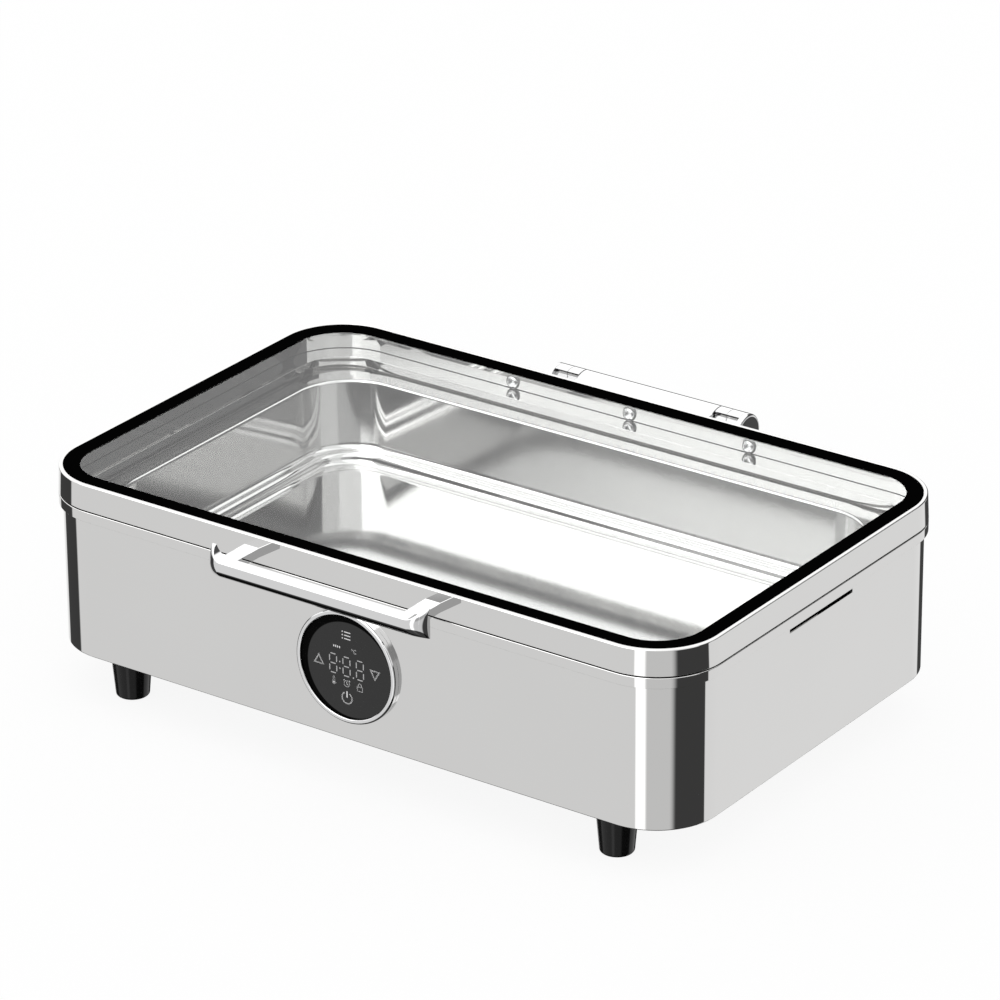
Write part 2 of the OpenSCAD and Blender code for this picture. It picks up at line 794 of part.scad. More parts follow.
module heater_tube() color([0.4, 0.38, 0.36]) translate([0, plate_y, tube_z]) {
  for (s = [-1, 1]) translate([0, s * leg_pitch / 2, 0]) {
    along_x(tube_r, leg_x0, leg_x0 + leg_l);
    along_x(cold_pin_r, leg_x0 - cold_pin_l, leg_x0);
  }
  translate([leg_x0 + leg_l, 0, 0]) rotate([0, 0, -90]) rotate_extrude(angle = 180)
    translate([leg_pitch / 2, 0]) circle(tube_r);
}

module heater_studs() color(zinc) at_studs()
  translate([0, 0, stud_end_z]) cylinder(r = stud_r, h = well_under_z - stud_end_z);

module heater_clamps() color(steel) difference() {
  clamp_l = leg_pitch + 4 * tube_r;
  for (s = [-1, 1]) translate([s * bar_pitch / 2 - clamp_w / 2, plate_y - clamp_l / 2, clamp_z])
    cube([clamp_w, clamp_l, clamp_t]);
  at_studs() translate([0, 0, clamp_z - cut]) cylinder(r = stud_hole, h = clamp_t + 2 * cut);
}

module heater_nuts() color(zinc) at_studs()
  translate([0, 0, clamp_z - nut_h]) nut(stud_r + nut_clear, nut_h);

module heater_leads() color([0.7, 0.7, 0.68]) for (s = [-1, 1]) {
  turn_x = s < 0 ? lead_a_x : lead_b_x;
  row_y = terminal_y - s * lead_pitch / 2;
  lead([
    [leg_x0 - cold_pin_l, plate_y + s * leg_pitch / 2, tube_z],
    [turn_x, plate_y + s * leg_pitch / 2, tube_z],
    [turn_x, row_y, tube_z],
    [terminal_x, row_y, tube_z]], lead_r);
}

module thermal_cutoff() color([0.75, 0.72, 0.6])
  translate([0, plate_y, clamp_z]) cylinder(r = cutoff_r, h = plate_z - clamp_z);

module temperature_sensor() color(zinc)
  translate([sensor_x, plate_y, well_under_z - sensor_h]) cylinder(r = sensor_r, h = sensor_h);

module heat_shield() color(bright) difference() {
  translate([-shield_l / 2, plate_y - shield_w / 2, deck_z]) cube([shield_l, shield_w, shield_h]);
  translate([-shield_l / 2 - cut, plate_y - shield_w / 2 + shield_t, deck_z - cut])
    cube([shield_l + 2 * cut, shield_w - 2 * shield_t, shield_h - shield_t + cut]);
}

module insulation_mat() color([0.9, 0.88, 0.82])
  translate([-shield_l / 2, plate_y - shield_w / 2 + shield_t, deck_z])
    cube([shield_l, shield_w - 2 * shield_t, mat_t]);

// Hinge on the body

// Barrel section with its front notch, across the hinge axis
module knuckle_section() difference() {
  circle(barrel_r);
  translate([-2 * barrel_r, notch_z]) square([2 * barrel_r - notch_y, barrel_r]);
}

// Extrudes a section drawn in y and z along X from x0 to x1
module section_x(x0, x1) translate([x0, 0, 0]) rotate([90, 0, 90]) linear_extrude(x1 - x0) children();

module hinge_bracket() color(bright) {
  root_y = back_y + hinge_plate_t;
  difference() {
    translate([-bracket_l / 2, back_y, bracket_low_z]) cube([bracket_l, hinge_plate_t, bracket_h]);
    at_bracket_screws() along_y(bracket_hole_r, back_y - cut, root_y + cut);
  }
  for (m = [0, 1]) mirror([m, 0, 0]) at_axis() difference() {
    section_x(knuckle_in, knuckle_out) {
      knuckle_section();
      polygon([
        [root_y - axis_y, bracket_low_z - axis_z], [root_y - axis_y, bracket_top_z - axis_z],
        barrel_r * [-cos(web_front_a), -sin(web_front_a)], [0, -pin_r],
        barrel_r * [cos(web_back_a), -sin(web_back_a)]]);
    }
    along_x(pin_r + fit_clear, knuckle_in - cut, knuckle_out + cut);
  }
}

module hinge_cap(m) color(bright) mirror([m, 0, 0]) at_axis() difference() {
  union() {
    section_x(knuckle_out, cap_out - cap_end) knuckle_section();
    translate([cap_out - cap_end, 0, 0]) rotate([0, 90, 0])
      cylinder(r1 = barrel_r, r2 = barrel_r - cap_bevel, h = cap_end);
  }
  along_x(pin_r + fit_clear, knuckle_out - cut, pin_end);
}

module hinge_pin() color(zinc) at_axis() along_x(pin_r, -pin_end, pin_end);

module bracket_screws() color(bright) at_bracket_screws()
  translate([0, back_y + hinge_plate_t, 0]) rotate([90, 0, 0])
    screw(2 * bracket_screw_r, bracket_screw_r, bracket_screw_r, hinge_plate_t + sheet + nut_h + thread_over);

module bracket_nuts() color(zinc) at_bracket_screws()
  translate([0, back_y - sheet, 0]) rotate([90, 0, 0]) nut(bracket_screw_r + nut_clear, nut_h);

// Lid

module lid_frame() color(steel) {
  seat_in = edge_w + seal_clear + seal_w;
  difference() {
    block(rim_l, rim_w, rim_corner, lid_z, top_z);
    block(rim_l - 2 * lid_wall, rim_w - 2 * lid_wall, rim_corner - lid_wall,
      lid_z - cut, seat_z - lid_wall);
    block(rim_l - 2 * seat_in, rim_w - 2 * seat_in, rim_corner - seat_in, lid_z, top_z + cut);
    block(rim_l - 2 * edge_w, rim_w - 2 * edge_w, rim_corner - edge_w, seat_z, top_z + cut);
    at_lid_screws() along_y(lid_screw_hole, lid_back_y - 2 * lid_wall, lid_back_y + cut);
    at_handle_screws() along_y(handle_hole_r, lid_front_y - cut, lid_front_y + 2 * lid_wall);
  }
}

// Plan of the seal's outer edge drawn in by d
module seal_block(d, z0, z1) {
  e = edge_w + seal_clear + d;
  block(rim_l - 2 * e, rim_w - 2 * e, rim_corner - e, z0, z1);
}

module lid_glass() color([0.8, 0.9, 0.9, 0.3]) seal_block(seal_web, glass_z, glass_z + glass_t);

module glass_seal() color(black) difference() {
  seal_block(0, seat_z, top_z);
  seal_block(seal_web, glass_z, glass_z + glass_t);
  seal_block(seal_w, seat_z - cut, top_z + cut);
}

module handle() color(bright) difference() {
  union() {
    intersection() {
      translate([0, bar_back_y, bar_z]) along_x(bar_r, -bar_l / 2, bar_l / 2);
      translate([0, bar_back_y, bar_z - bar_r]) linear_extrude(2 * bar_r) intersection() {
        rounded(bar_l, 2 * bar_r, bar_end_r);
        translate([-bar_l, -2 * bar_r]) square([2 * bar_l, 2 * bar_r]);
      }
    }
    for (s = [-1, 1]) translate([s * arm_mid_x - arm_w / 2, bar_back_y - arm_lap, arm_z])
      cube([arm_w, finger_gap + arm_lap, arm_h]);
  }
  translate([-scoop_half, bar_back_y - 2 * bar_r, scoop_z]) cube([2 * scoop_half, 2 * bar_r, 2 * bar_r]);
  for (s = [-1, 1]) translate([s * scoop_half, 0, scoop_z + scoop_r])
    along_y(scoop_r, bar_back_y - 2 * bar_r, bar_back_y + cut);
  at_handle_screws()
    along_y(handle_screw_r + nut_clear, lid_front_y - handle_screw_depth - hole_over, lid_front_y + cut);
}

module handle_screws() color(zinc) at_handle_screws()
  translate([0, lid_front_y + lid_wall, 0]) rotate([90, 0, 0])
    screw(handle_head_r, handle_head_h, handle_screw_r, lid_wall + handle_screw_depth);

module hinge_arm() color(bright) difference() {
  plate_y0 = lid_back_y + hinge_plate_t - axis_y;
  arm_top = top_z - arm_top_drop - axis_z;
  union() {
    translate([-hinge_flange_l / 2, lid_back_y, hinge_flange_z])
      cube([hinge_flange_l, hinge_plate_t, hinge_flange_h]);
    at_axis() section_x(-arm_half, arm_half) {
      circle(barrel_r);
      polygon([
        [plate_y0, hinge_flange_z - axis_z + arm_low], [plate_y0, arm_top],
        [0, arm_top], [0, 0], [-barrel_r, 0]]);
    }
  }
  at_axis() along_x(barrel_bore_r, -arm_half - cut, arm_half + cut);
  at_lid_screws() along_y(lid_screw_r + nut_clear, lid_back_y - cut, lid_back_y + hinge_plate_t);
}

module hinge_arm_screws() color(bright) at_lid_screws()
  translate([0, lid_back_y - lid_wall, 0]) rotate([-90, 0, 0])
    screw(lid_screw_head_r, lid_screw_head_h, lid_screw_r, lid_wall + hinge_plate_t - lid_screw_short);

// Sleeve on the pin from x0 to x1 that fills the lid's barrel
module sleeve(x0, x1) at_axis() difference() {
  along_x(barrel_bore_r - fit_clear, x0, x1);
  along_x(pin_r + pin_clear, x0 - cut, x1 + cut);
}

module hinge_bushes() color([0.85, 0.83, 0.75])
  for (m = [0, 1]) mirror([m, 0, 0]) sleeve(arm_half - bush_l, arm_half);

module hinge_damper() color(zinc) sleeve(-arm_half + bush_l, arm_half - bush_l);

// Food pan

// Line down the inside of the pan, from the flange's edge to the floor:
// x is outwards from the mouth, y is height
function pan_line() =
  let (floor_z = pan_under_z + pan_sheet, shelf_z = pan_under_z + ledge_h, step_x = -ledge_w - ledge_step)
  concat(
    [[flange_w, flange_z]],
    arc([mouth_r, flange_z - mouth_r], mouth_r, 90, 180, 3),
    arc([-pan_draft - pan_turn, shelf_z + pan_turn], pan_turn, 0, -85, 5),
    [[-ledge_w, shelf_z - ledge_fall], [step_x, floor_z + ledge_fall]],
    [[step_x - floor_blend, floor_z], [step_x - floor_blend - ledge_step, floor_z]]);

module food_pan() color(bright) {
  floor_in = ledge_w + 2 * ledge_step;
  swept(2 * mouth_half_l, 2 * mouth_half_w, pan_corner) polygon(folded(pan_line(), pan_sheet));
  block(2 * (mouth_half_l - floor_in), 2 * (mouth_half_w - floor_in), pan_corner - floor_in,
    pan_under_z, pan_under_z + pan_sheet);
}

outer_shell();
water_pan();
bottom_cover();
bottom_screws();
foot(-1, -1);  // foot_front_left
foot(1, -1);  // foot_front_right
foot(-1, 1);  // foot_rear_left
foot(1, 1);  // foot_rear_right
foot_screws();
foot_nuts();
panel_bezel();
panel_glass();
panel_housing();
display_board();
digit_display();
touch_springs();
panel_cable();
power_board();
board_standoffs();
board_screws();
relay();
transformer();
capacitor();
terminal_block();
inlet_socket();
inlet_pins();
inlet_screws();
mains_leads();
earth_stud();
earth_lead();
heater_plate();
heater_tube();
heater_studs();
heater_clamps();
heater_nuts();
heater_leads();
thermal_cutoff();
temperature_sensor();
heat_shield();
insulation_mat();
hinge_bracket();
hinge_cap(1);  // hinge_cap_left
hinge_cap(0);  // hinge_cap_right
hinge_pin();
bracket_screws();
bracket_nuts();
lid_frame();
lid_glass();
glass_seal();
handle();
handle_screws();
hinge_arm();
hinge_arm_screws();
hinge_bushes();
hinge_damper();
food_pan();
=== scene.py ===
"""Looks of an electric chafing dish.

Polished steel body and lid, clear pane, food pan, touch panel, hinge and feet. Every piece is built round the
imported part, in its frame. Sizes are written in millimetres and made metres where a mesh is made.
"""

import json
import math

import bpy
import numpy as np
from mathutils import Matrix, Vector


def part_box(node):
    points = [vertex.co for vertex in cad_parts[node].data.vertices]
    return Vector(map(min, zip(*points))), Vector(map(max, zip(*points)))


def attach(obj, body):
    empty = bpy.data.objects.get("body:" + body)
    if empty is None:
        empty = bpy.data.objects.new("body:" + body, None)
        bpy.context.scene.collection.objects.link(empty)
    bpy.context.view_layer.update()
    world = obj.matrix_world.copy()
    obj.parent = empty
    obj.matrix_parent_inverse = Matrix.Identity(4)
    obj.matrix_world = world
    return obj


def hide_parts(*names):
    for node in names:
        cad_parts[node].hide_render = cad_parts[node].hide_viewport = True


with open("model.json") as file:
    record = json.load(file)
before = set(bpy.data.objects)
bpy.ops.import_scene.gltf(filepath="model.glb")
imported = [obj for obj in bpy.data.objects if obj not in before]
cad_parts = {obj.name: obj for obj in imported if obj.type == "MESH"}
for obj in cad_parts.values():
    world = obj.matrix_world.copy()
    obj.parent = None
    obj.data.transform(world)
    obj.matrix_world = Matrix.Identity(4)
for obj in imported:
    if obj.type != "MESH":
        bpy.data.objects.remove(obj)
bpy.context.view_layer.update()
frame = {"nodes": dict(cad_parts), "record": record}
NODES = frame["nodes"]
RECORD = frame["record"]
SCENE = bpy.context.scene
MM = 0.001


def span(node):
    """Lowest and highest corner of a CAD node in millimetres."""
    low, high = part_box(node)
    return np.array(low) / MM, np.array(high) / MM


# Camera

EYE_PLACE = (2.1697, -3.0276, 1.8455)
EYE_AZIMUTH, EYE_ELEVATION, EYE_ROLL = 35.5224, 24.4064, -0.3806
EYE_LENS, EYE_SENSOR, EYE_CLIP = 202.4, 36, (0.1, 100)


def place_camera():
    """Camera of the photograph, with its place, direction, roll and lens."""
    a, e, r = (math.radians(x) for x in (EYE_AZIMUTH, EYE_ELEVATION, EYE_ROLL))
    back = Vector((math.sin(a) * math.cos(e), -math.cos(a) * math.cos(e), math.sin(e)))
    level = Vector((0, 0, 1)).cross(back).normalized()
    upright = back.cross(level)
    right = level * math.cos(r) + upright * math.sin(r)
    up = upright * math.cos(r) - level * math.sin(r)
    data = bpy.data.cameras.new("photo_camera")
    data.lens, data.sensor_width = EYE_LENS, EYE_SENSOR
    data.clip_start, data.clip_end = EYE_CLIP
    camera = bpy.data.objects.new("photo_camera", data)
    SCENE.collection.objects.link(camera)
    turned = Matrix((right, up, back)).transposed().to_4x4()
    camera.matrix_world = Matrix.Translation(EYE_PLACE) @ turned
    SCENE.camera = camera


place_camera()

# Node trees written as expressions


def arithmetic(operation, turned=False):
    """A method that adds a Math node for itself and another number, in this order or turned."""
    def method(self, other):
        return self.maths(operation, other, self) if turned else self.maths(operation, self, other)

    return method


class Value:
    """A socket that carries a number. Arithmetic on it adds Math nodes."""

    def __init__(self, graph, socket):
        self.graph, self.socket = graph, socket

    def maths(self, operation, *terms):
        return self.graph.node("ShaderNodeMath", {"operation": operation}, dict(enumerate(terms)))

    __add__, __radd__ = arithmetic("ADD"), arithmetic("ADD", True)
    __sub__, __rsub__ = arithmetic("SUBTRACT"), arithmetic("SUBTRACT", True)
    __mul__, __rmul__ = arithmetic("MULTIPLY"), arithmetic("MULTIPLY", True)
    most = arithmetic("MAXIMUM")

    def __neg__(self):
        return self * -1

    def step(self, low, high):
        """0 below low, 1 above high, smooth between them."""
        inputs = {"Value": self, "From Min": low, "From Max": high, "To Min": 0, "To Max": 1}
        return self.graph.node("ShaderNodeMapRange", {"interpolation_type": "SMOOTHSTEP"}, inputs)

    def edge(self, at, soft):
        """A step at a value, as wide as soft."""
        return self.step(at - soft / 2, at + soft / 2)

    def within(self, low, high, soft):
        """1 between low and high, with edges as wide as soft."""
        return self.edge(low, soft) * (1 - self.edge(high, soft))


class Graph:
    """A node tree and the one way nodes are added to it."""

    def __init__(self, tree):
        self.tree = tree
        tree.nodes.clear()

    def node(self, kind, settings=None, inputs=None, output=0):
        """A node of a kind, with its settings and its sockets' values or links. Gives one of its outputs."""
        made = self.tree.nodes.new(kind)
        for name, value in (settings or {}).items():
            setattr(made, name, value)
        for key, value in (inputs or {}).items():
            socket = self.find(made.inputs, key)
            if isinstance(value, Value):
                self.tree.links.new(value.socket, socket)
            else:
                socket.default_value = value
        return Value(self, self.find(made.outputs, output)) if made.outputs else None

    @staticmethod
    def find(sockets, key):
        if isinstance(key, int):
            return sockets[key]
        for socket in sockets:
            if socket.identifier == key or socket.name == key:
                return socket
        raise KeyError(key)

    def place(self, scale=(1, 1, 1)):
        """Object coordinates, stretched."""
        spot = self.node("ShaderNodeTexCoord", output="Object")
        return self.node("ShaderNodeMapping", {}, {"Vector": spot, "Scale": scale})

    def noise(self, scale, stretch=(1, 1, 1), detail=2.0, rough=0.5):
        inputs = {"Vector": self.place(stretch), "Scale": scale, "Detail": detail, "Roughness": rough}
        return self.node("ShaderNodeTexNoise", {}, inputs)

    def blend(self, share, first, second):
        """A colour between two."""
        inputs = {"Factor_Float": share, "A_Color": first, "B_Color": second}
        return self.node("ShaderNodeMix", {"data_type": "RGBA"}, inputs, "Result_Color")

    def bump(self, height, strength, distance):
        return self.node("ShaderNodeBump", {}, {"Height": height, "Strength": strength, "Distance": distance})


def grey(level):
    return (level, level, level, 1)


def tint(shade, by=1.0):
    return (*(c * by for c in shade), 1)


class Finish(Graph):
    """A material with one Principled shader, or with what close() is given."""

    def __init__(self, name):
        self.material = bpy.data.materials.new(name)
        self.material.use_nodes = True
        super().__init__(self.material.node_tree)

    def shader(self, **inputs):
        return self.node("ShaderNodeBsdfPrincipled", {}, {k.replace("_", " "): v for k, v in inputs.items()})

    def close(self, shader):
        self.node("ShaderNodeOutputMaterial", {}, {"Surface": shader})
        return self.material


# Finishes


def bright_metal(name, shade, smooth, haze, ripple):
    """Polished metal: a slow change of tone and haze, and a faint draw of the sheet."""
    f = Finish(name)
    cloud = f.noise(scale=9)
    wave = f.noise(scale=6, stretch=(1, 1, 2), detail=0)
    colour = f.blend(cloud, tint(shade, 0.985), tint(shade, 1.015))
    relief = f.bump(wave, strength=ripple, distance=0.0002)
    dull = smooth + haze * cloud
    return f.close(f.shader(Base_Color=colour, Metallic=1.0, Roughness=dull, Normal=relief))


def plated_metal(name, shade, smooth, spread):
    """Zinc or tin plate: grainy, with a mottled sheen."""
    f = Finish(name)
    spangle = f.node("ShaderNodeTexVoronoi", {}, {"Vector": f.place(), "Scale": 140.0})
    speck = f.noise(scale=900)
    colour = f.blend(spangle * 0.6 + speck * 0.4, tint(shade, 0.86), tint(shade, 1.08))
    relief = f.bump(speck, strength=0.15, distance=0.0001)
    dull = smooth + spread * spangle
    return f.close(f.shader(Base_Color=colour, Metallic=1.0, Roughness=dull, Normal=relief))


def moulded(name, shade, smooth, grain=0.08, size=1400, sheen=0.5):
    """Moulded plastic or rubber: fine spark-eroded grain and a slight change of tone."""
    f = Finish(name)
    pits = f.noise(scale=size, rough=0.6)
    cloud = f.noise(scale=30)
    colour = f.blend(cloud, tint(shade, 0.85), tint(shade, 1.15))
    relief = f.bump(pits, strength=grain, distance=0.0001)
    dull = smooth + 0.12 * (pits - 0.5)
    return f.close(f.shader(Base_Color=colour, Roughness=dull, Specular_IOR_Level=sheen, Normal=relief))


def clear_pane(name):
    """Clear glass: what is behind it, and a reflection that grows at a flat angle, once on entering."""
    f = Finish(name)
    wipe = f.noise(scale=14, stretch=(1, 3, 1), detail=3)
    entering = 1 - f.node("ShaderNodeNewGeometry", output="Backfacing")
    share = f.node("ShaderNodeFresnel", {}, {"IOR": PANE_IOR}) * entering * (0.96 + 0.08 * wipe)
    through = f.node("ShaderNodeBsdfTransparent", {}, {"Color": (0.985, 0.99, 0.988, 1)})
    mirror = f.shader(Base_Color=grey(1.0), Metallic=1.0, Roughness=0.01 + 0.015 * wipe)
    return f.close(f.node("ShaderNodeMixShader", {}, {0: share, 1: through, 2: mirror}))


def touch_glass(name):
    """Black glass, painted on the back, with faint finger haze, and painted shade: dull black outside an
    off-centre circle, for the ring's shadow.
    """
    f = Finish(name)
    wipe = f.noise(scale=60, stretch=(1, 1, 2), detail=3)
    colour = f.blend(wipe, grey(0.0022), grey(0.0045))
    spot = f.node("ShaderNodeTexCoord", output="Object")
    middle = tuple(PAINTED_SHADE_MIDDLE * MM)
    off = f.node("ShaderNodeVectorMath", {"operation": "DISTANCE"}, {0: spot, 1: middle}, "Value")
    # Painted shade: outside a circle set off the middle, the glass turns dull and black, standing in for the
    # shadow of the ring's recess.
    painted_shade_mask = off.edge(PAINTED_SHADE_RADIUS * MM, PAINTED_SHADE_SOFT * MM)
    face = f.shader(Base_Color=colour, Roughness=0.04 + 0.05 * wipe, IOR=1.42)
    dull = f.shader(Base_Color=colour, Roughness=0.6, Specular_IOR_Level=0.0)
    return f.close(f.node("ShaderNodeMixShader", {}, {0: painted_shade_mask, 1: face, 2: dull}))


def lit_mark(name, dim, bright):
    """Printed marks, lit from behind, a little uneven."""
    f = Finish(name)
    glow = f.noise(scale=220)
    colour = f.blend(glow, grey(dim), grey(bright))
    return f.close(f.shader(Base_Color=colour, Roughness=0.55 + 0.1 * glow))


def green_board(name):
    """Solder mask with faint tracks under it."""
    f = Finish(name)
    tracks = f.node("ShaderNodeTexBrick", {}, {"Vector": f.place(), "Scale": 60.0}, "Fac")
    speck = f.noise(scale=700)
    colour = f.blend(tracks * 0.7 + speck * 0.3, (0.01, 0.09, 0.03, 1), (0.03, 0.17, 0.07, 1))
    relief = f.bump(tracks, strength=0.1, distance=0.0001)
    return f.close(f.shader(Base_Color=colour, Roughness=0.35 + 0.15 * speck, Normal=relief))


def fibre_mat(name):
    """Ceramic fibre: matt, woolly and uneven."""
    f = Finish(name)
    wool = f.noise(scale=420, stretch=(1, 4, 1), detail=5, rough=0.7)
    colour = f.blend(wool, (0.62, 0.59, 0.52, 1), (0.85, 0.82, 0.75, 1))
    relief = f.bump(wool, strength=0.6, distance=0.0008)
    return f.close(f.shader(Base_Color=colour, Roughness=0.85 + 0.1 * wool, Normal=relief))


PANE_IOR = 1.3
GLASS_LOW, GLASS_HIGH = span("panel_glass")
# Circle outside which the touch glass is painted dull and black as shade: radius, softness, and how far right
# and down its middle sits.
PAINTED_SHADE_RADIUS, PAINTED_SHADE_SOFT, PAINTED_SHADE_RIGHT, PAINTED_SHADE_DOWN = 36.8, 0.8, 2.5, 2
PAINTED_SHADE_MIDDLE = (GLASS_LOW + GLASS_HIGH) / 2 + [PAINTED_SHADE_RIGHT, 0, -PAINTED_SHADE_DOWN]
PAINTED_SHADE_MIDDLE[1] = GLASS_LOW[1]
STEEL = (0.592, 0.589, 0.583)
CHROME = (0.62, 0.62, 0.622)
RECIPES = {
    "polished_stainless": (bright_metal, STEEL, 0.012, 0.015, 0.006),
    "chrome_plate": (bright_metal, CHROME, 0.012, 0.02, 0.006),
    "zinc_steel": (plated_metal, (0.55, 0.56, 0.58), 0.28, 0.25),
    "clear_glass": (clear_pane,),
    "black_glass": (touch_glass,),
    "black_silicone": (moulded, (0.0012, 0.0012, 0.0012), 0.62, 0.05, 1100, 0),
    "foot_plastic": (moulded, (0.003, 0.003, 0.003), 0.16, 0.01, 900, 0.2),
    "housing_plastic": (moulded, (0.02, 0.02, 0.02), 0.45),
    "circuit_board": (green_board,),
    "component_plastic": (moulded, (0.15, 0.16, 0.2), 0.4),
    "lead_insulation": (moulded, (0.3, 0.28, 0.26), 0.5, 0.15, 500),
    "blade_brass": (plated_metal, (0.6, 0.5, 0.3), 0.22, 0.12),
    "heater_aluminium": (plated_metal, (0.6, 0.6, 0.6), 0.35, 0.2),
    "element_sheath": (plated_metal, (0.3, 0.28, 0.26), 0.4, 0.2),
    "ceramic_fibre": (fibre_mat,),
    "bush_plastic": (moulded, (0.7, 0.68, 0.6), 0.4),
}
FINISHES = {name: make(name, *values) for name, (make, *values) in RECIPES.items()}
MARKS = lit_mark("lit_marks", 0.6, 0.78)
DIGITS = lit_mark("lit_digits", 0.36, 0.5)
PAN_STEEL = bright_metal("satin_stainless", STEEL, 0.075, 0.02, 0.0)

# Studio

# Directions round the dish in degrees from the front towards the right, and above the horizon
FRONT_STRIP, FRONT_STRIP_GAIN = (0.5, 17), 0.9
SHADED_SIDE, SHADED_SIDE_DIP = (17, 59), 0.15
REAR_RIGHT_CARD, REAR_RIGHT_GAIN = (119, 171), 0.08
RIGHT_FLAG, RIGHT_FLAG_SOFT = (60.5, 118), (12, 2)
REAR_FLAG, LEFT_FLAG = (174, 216), (248, 290)
FLAG_LEVEL, DARK_BELOW = 0.065, -48
KEY_FROM, KEY_TO, KEY_RISE = 300, 17, (17, 29)
HORIZON = (-2, 5)
RIGHT_WALL = (17, 97)
BACK_FLAG, BACK_FLAG_TOP, BACK_FLAG_LEVEL = (98, 203), (34, 41), 0.1
UPPER_LEVEL, KEY_LEVEL, RIGHT_WALL_LEVEL = 1.65, 3.6, 1.2
NEAR_RIGHT, NEAR_RIGHT_RISE, NEAR_RIGHT_DIP, NEAR_RIGHT_GAIN = (17, 62), (18, 26), 0.65, 1.2
KEY_CUT, KEY_CUT_RISE, KEY_CUT_DEPTH = (302, 326.1), (21.1, 22.9), 0.75
CARD_SOFT, STRIP_SOFT, KEY_SOFT, DARK_SOFT, KEY_CUT_SOFT = 4, 6, 12, 3, (0.5, 0.6)
MATT_FLOOR, LIT_FLOOR, FLOOR_HALF = 0.97, 0.9, 40


def studio_light():
    """White sweep for the camera, even light for matt surfaces, and cards and flags for what mirrors."""
    world = bpy.data.worlds.new("studio")
    SCENE.world = world
    world.use_nodes = True
    world.cycles.sampling_method = "NONE"
    g = Graph(world.node_tree)
    way = g.node("ShaderNodeTexCoord", output="Generated")
    x, y, z = (g.node("ShaderNodeSeparateXYZ", {}, {0: way}, k) for k in range(3))
    turn = x.maths("ARCTAN2", x, -y) * (180 / math.pi) + 360
    turn = turn.maths("FLOORED_MODULO", turn, 360)
    rise = z.maths("ARCSINE", z) * (180 / math.pi)
    low = 1 + FRONT_STRIP_GAIN * turn.within(*FRONT_STRIP, STRIP_SOFT)
    low = low - SHADED_SIDE_DIP * turn.within(*SHADED_SIDE, STRIP_SOFT)
    low = low + REAR_RIGHT_GAIN * turn.within(*REAR_RIGHT_CARD, CARD_SOFT)
    near, far = (turn.edge(at, soft) for at, soft in zip(RIGHT_FLAG, RIGHT_FLAG_SOFT))
    flags = (near * (1 - far)).most(turn.within(*REAR_FLAG, CARD_SOFT))
    flags = flags.most(turn.within(*LEFT_FLAG, CARD_SOFT))
    low = low * (1 - (1 - FLAG_LEVEL) * flags)
    low = low * (1 - (1 - FLAG_LEVEL) * (1 - rise.edge(DARK_BELOW, DARK_SOFT)))
    key = turn.edge(KEY_FROM, KEY_SOFT).most(1 - turn.edge(KEY_TO, CARD_SOFT))
    high = UPPER_LEVEL + (KEY_LEVEL - UPPER_LEVEL) * key
    high = high - (UPPER_LEVEL - RIGHT_WALL_LEVEL) * turn.within(*RIGHT_WALL, CARD_SOFT)
    lift = NEAR_RIGHT_GAIN * rise.step(*NEAR_RIGHT_RISE) - NEAR_RIGHT_DIP
    high = high + turn.within(*NEAR_RIGHT, CARD_SOFT) * lift
    flag = turn.within(*BACK_FLAG, DARK_SOFT) * (1 - rise.step(*BACK_FLAG_TOP))
    high = high * (1 - flag) + BACK_FLAG_LEVEL * flag
    level = rise.step(*HORIZON)
    upper = level + key * (rise.step(*KEY_RISE) - level)
    pattern = low * (1 - upper) + high * upper
    cut = turn.within(*KEY_CUT, KEY_CUT_SOFT[0]) * rise.within(*KEY_CUT_RISE, KEY_CUT_SOFT[1])
    pattern = pattern * (1 - KEY_CUT_DEPTH * cut)
    glossy = g.node("ShaderNodeLightPath", output="Is Glossy Ray")
    through = g.node("ShaderNodeLightPath", output="Is Transmission Ray")
    strength = 1 + glossy.most(through) * (pattern - 1)
    light = g.node("ShaderNodeBackground", {}, {"Color": grey(1.0), "Strength": strength})
    g.node("ShaderNodeOutputWorld", {}, {"Surface": light})


def pale_floor():
    """White floor that keeps a faint shadow."""
    signs = ((-1, -1), (1, -1), (1, 1), (-1, 1))
    mesh = bpy.data.meshes.new("floor")
    mesh.from_pydata([(FLOOR_HALF * x, FLOOR_HALF * y, 0) for x, y in signs], [], [(0, 1, 2, 3)])
    floor = bpy.data.objects.new("floor", mesh)
    SCENE.collection.objects.link(floor)
    f = Finish("floor_white")
    matt = f.node("ShaderNodeBsdfDiffuse", {}, {"Color": grey(MATT_FLOOR)})
    white = f.node("ShaderNodeEmission", {}, {"Color": grey(1.0), "Strength": 1.0})
    seen = f.node("ShaderNodeLightPath", output="Is Camera Ray") * LIT_FLOOR
    mesh.materials.append(f.close(f.node("ShaderNodeMixShader", {}, {0: seen, 1: matt, 2: white})))
    floor.visible_glossy = floor.visible_transmission = False


SCENE.view_settings.view_transform = "Standard"
SCENE.cycles.max_bounces = 24
SCENE.cycles.glossy_bounces = 16
SCENE.cycles.transparent_max_bounces = 24
studio_light()
pale_floor()

# Surfaces

CORNER_STEPS = 32
BEND_STEPS = 6


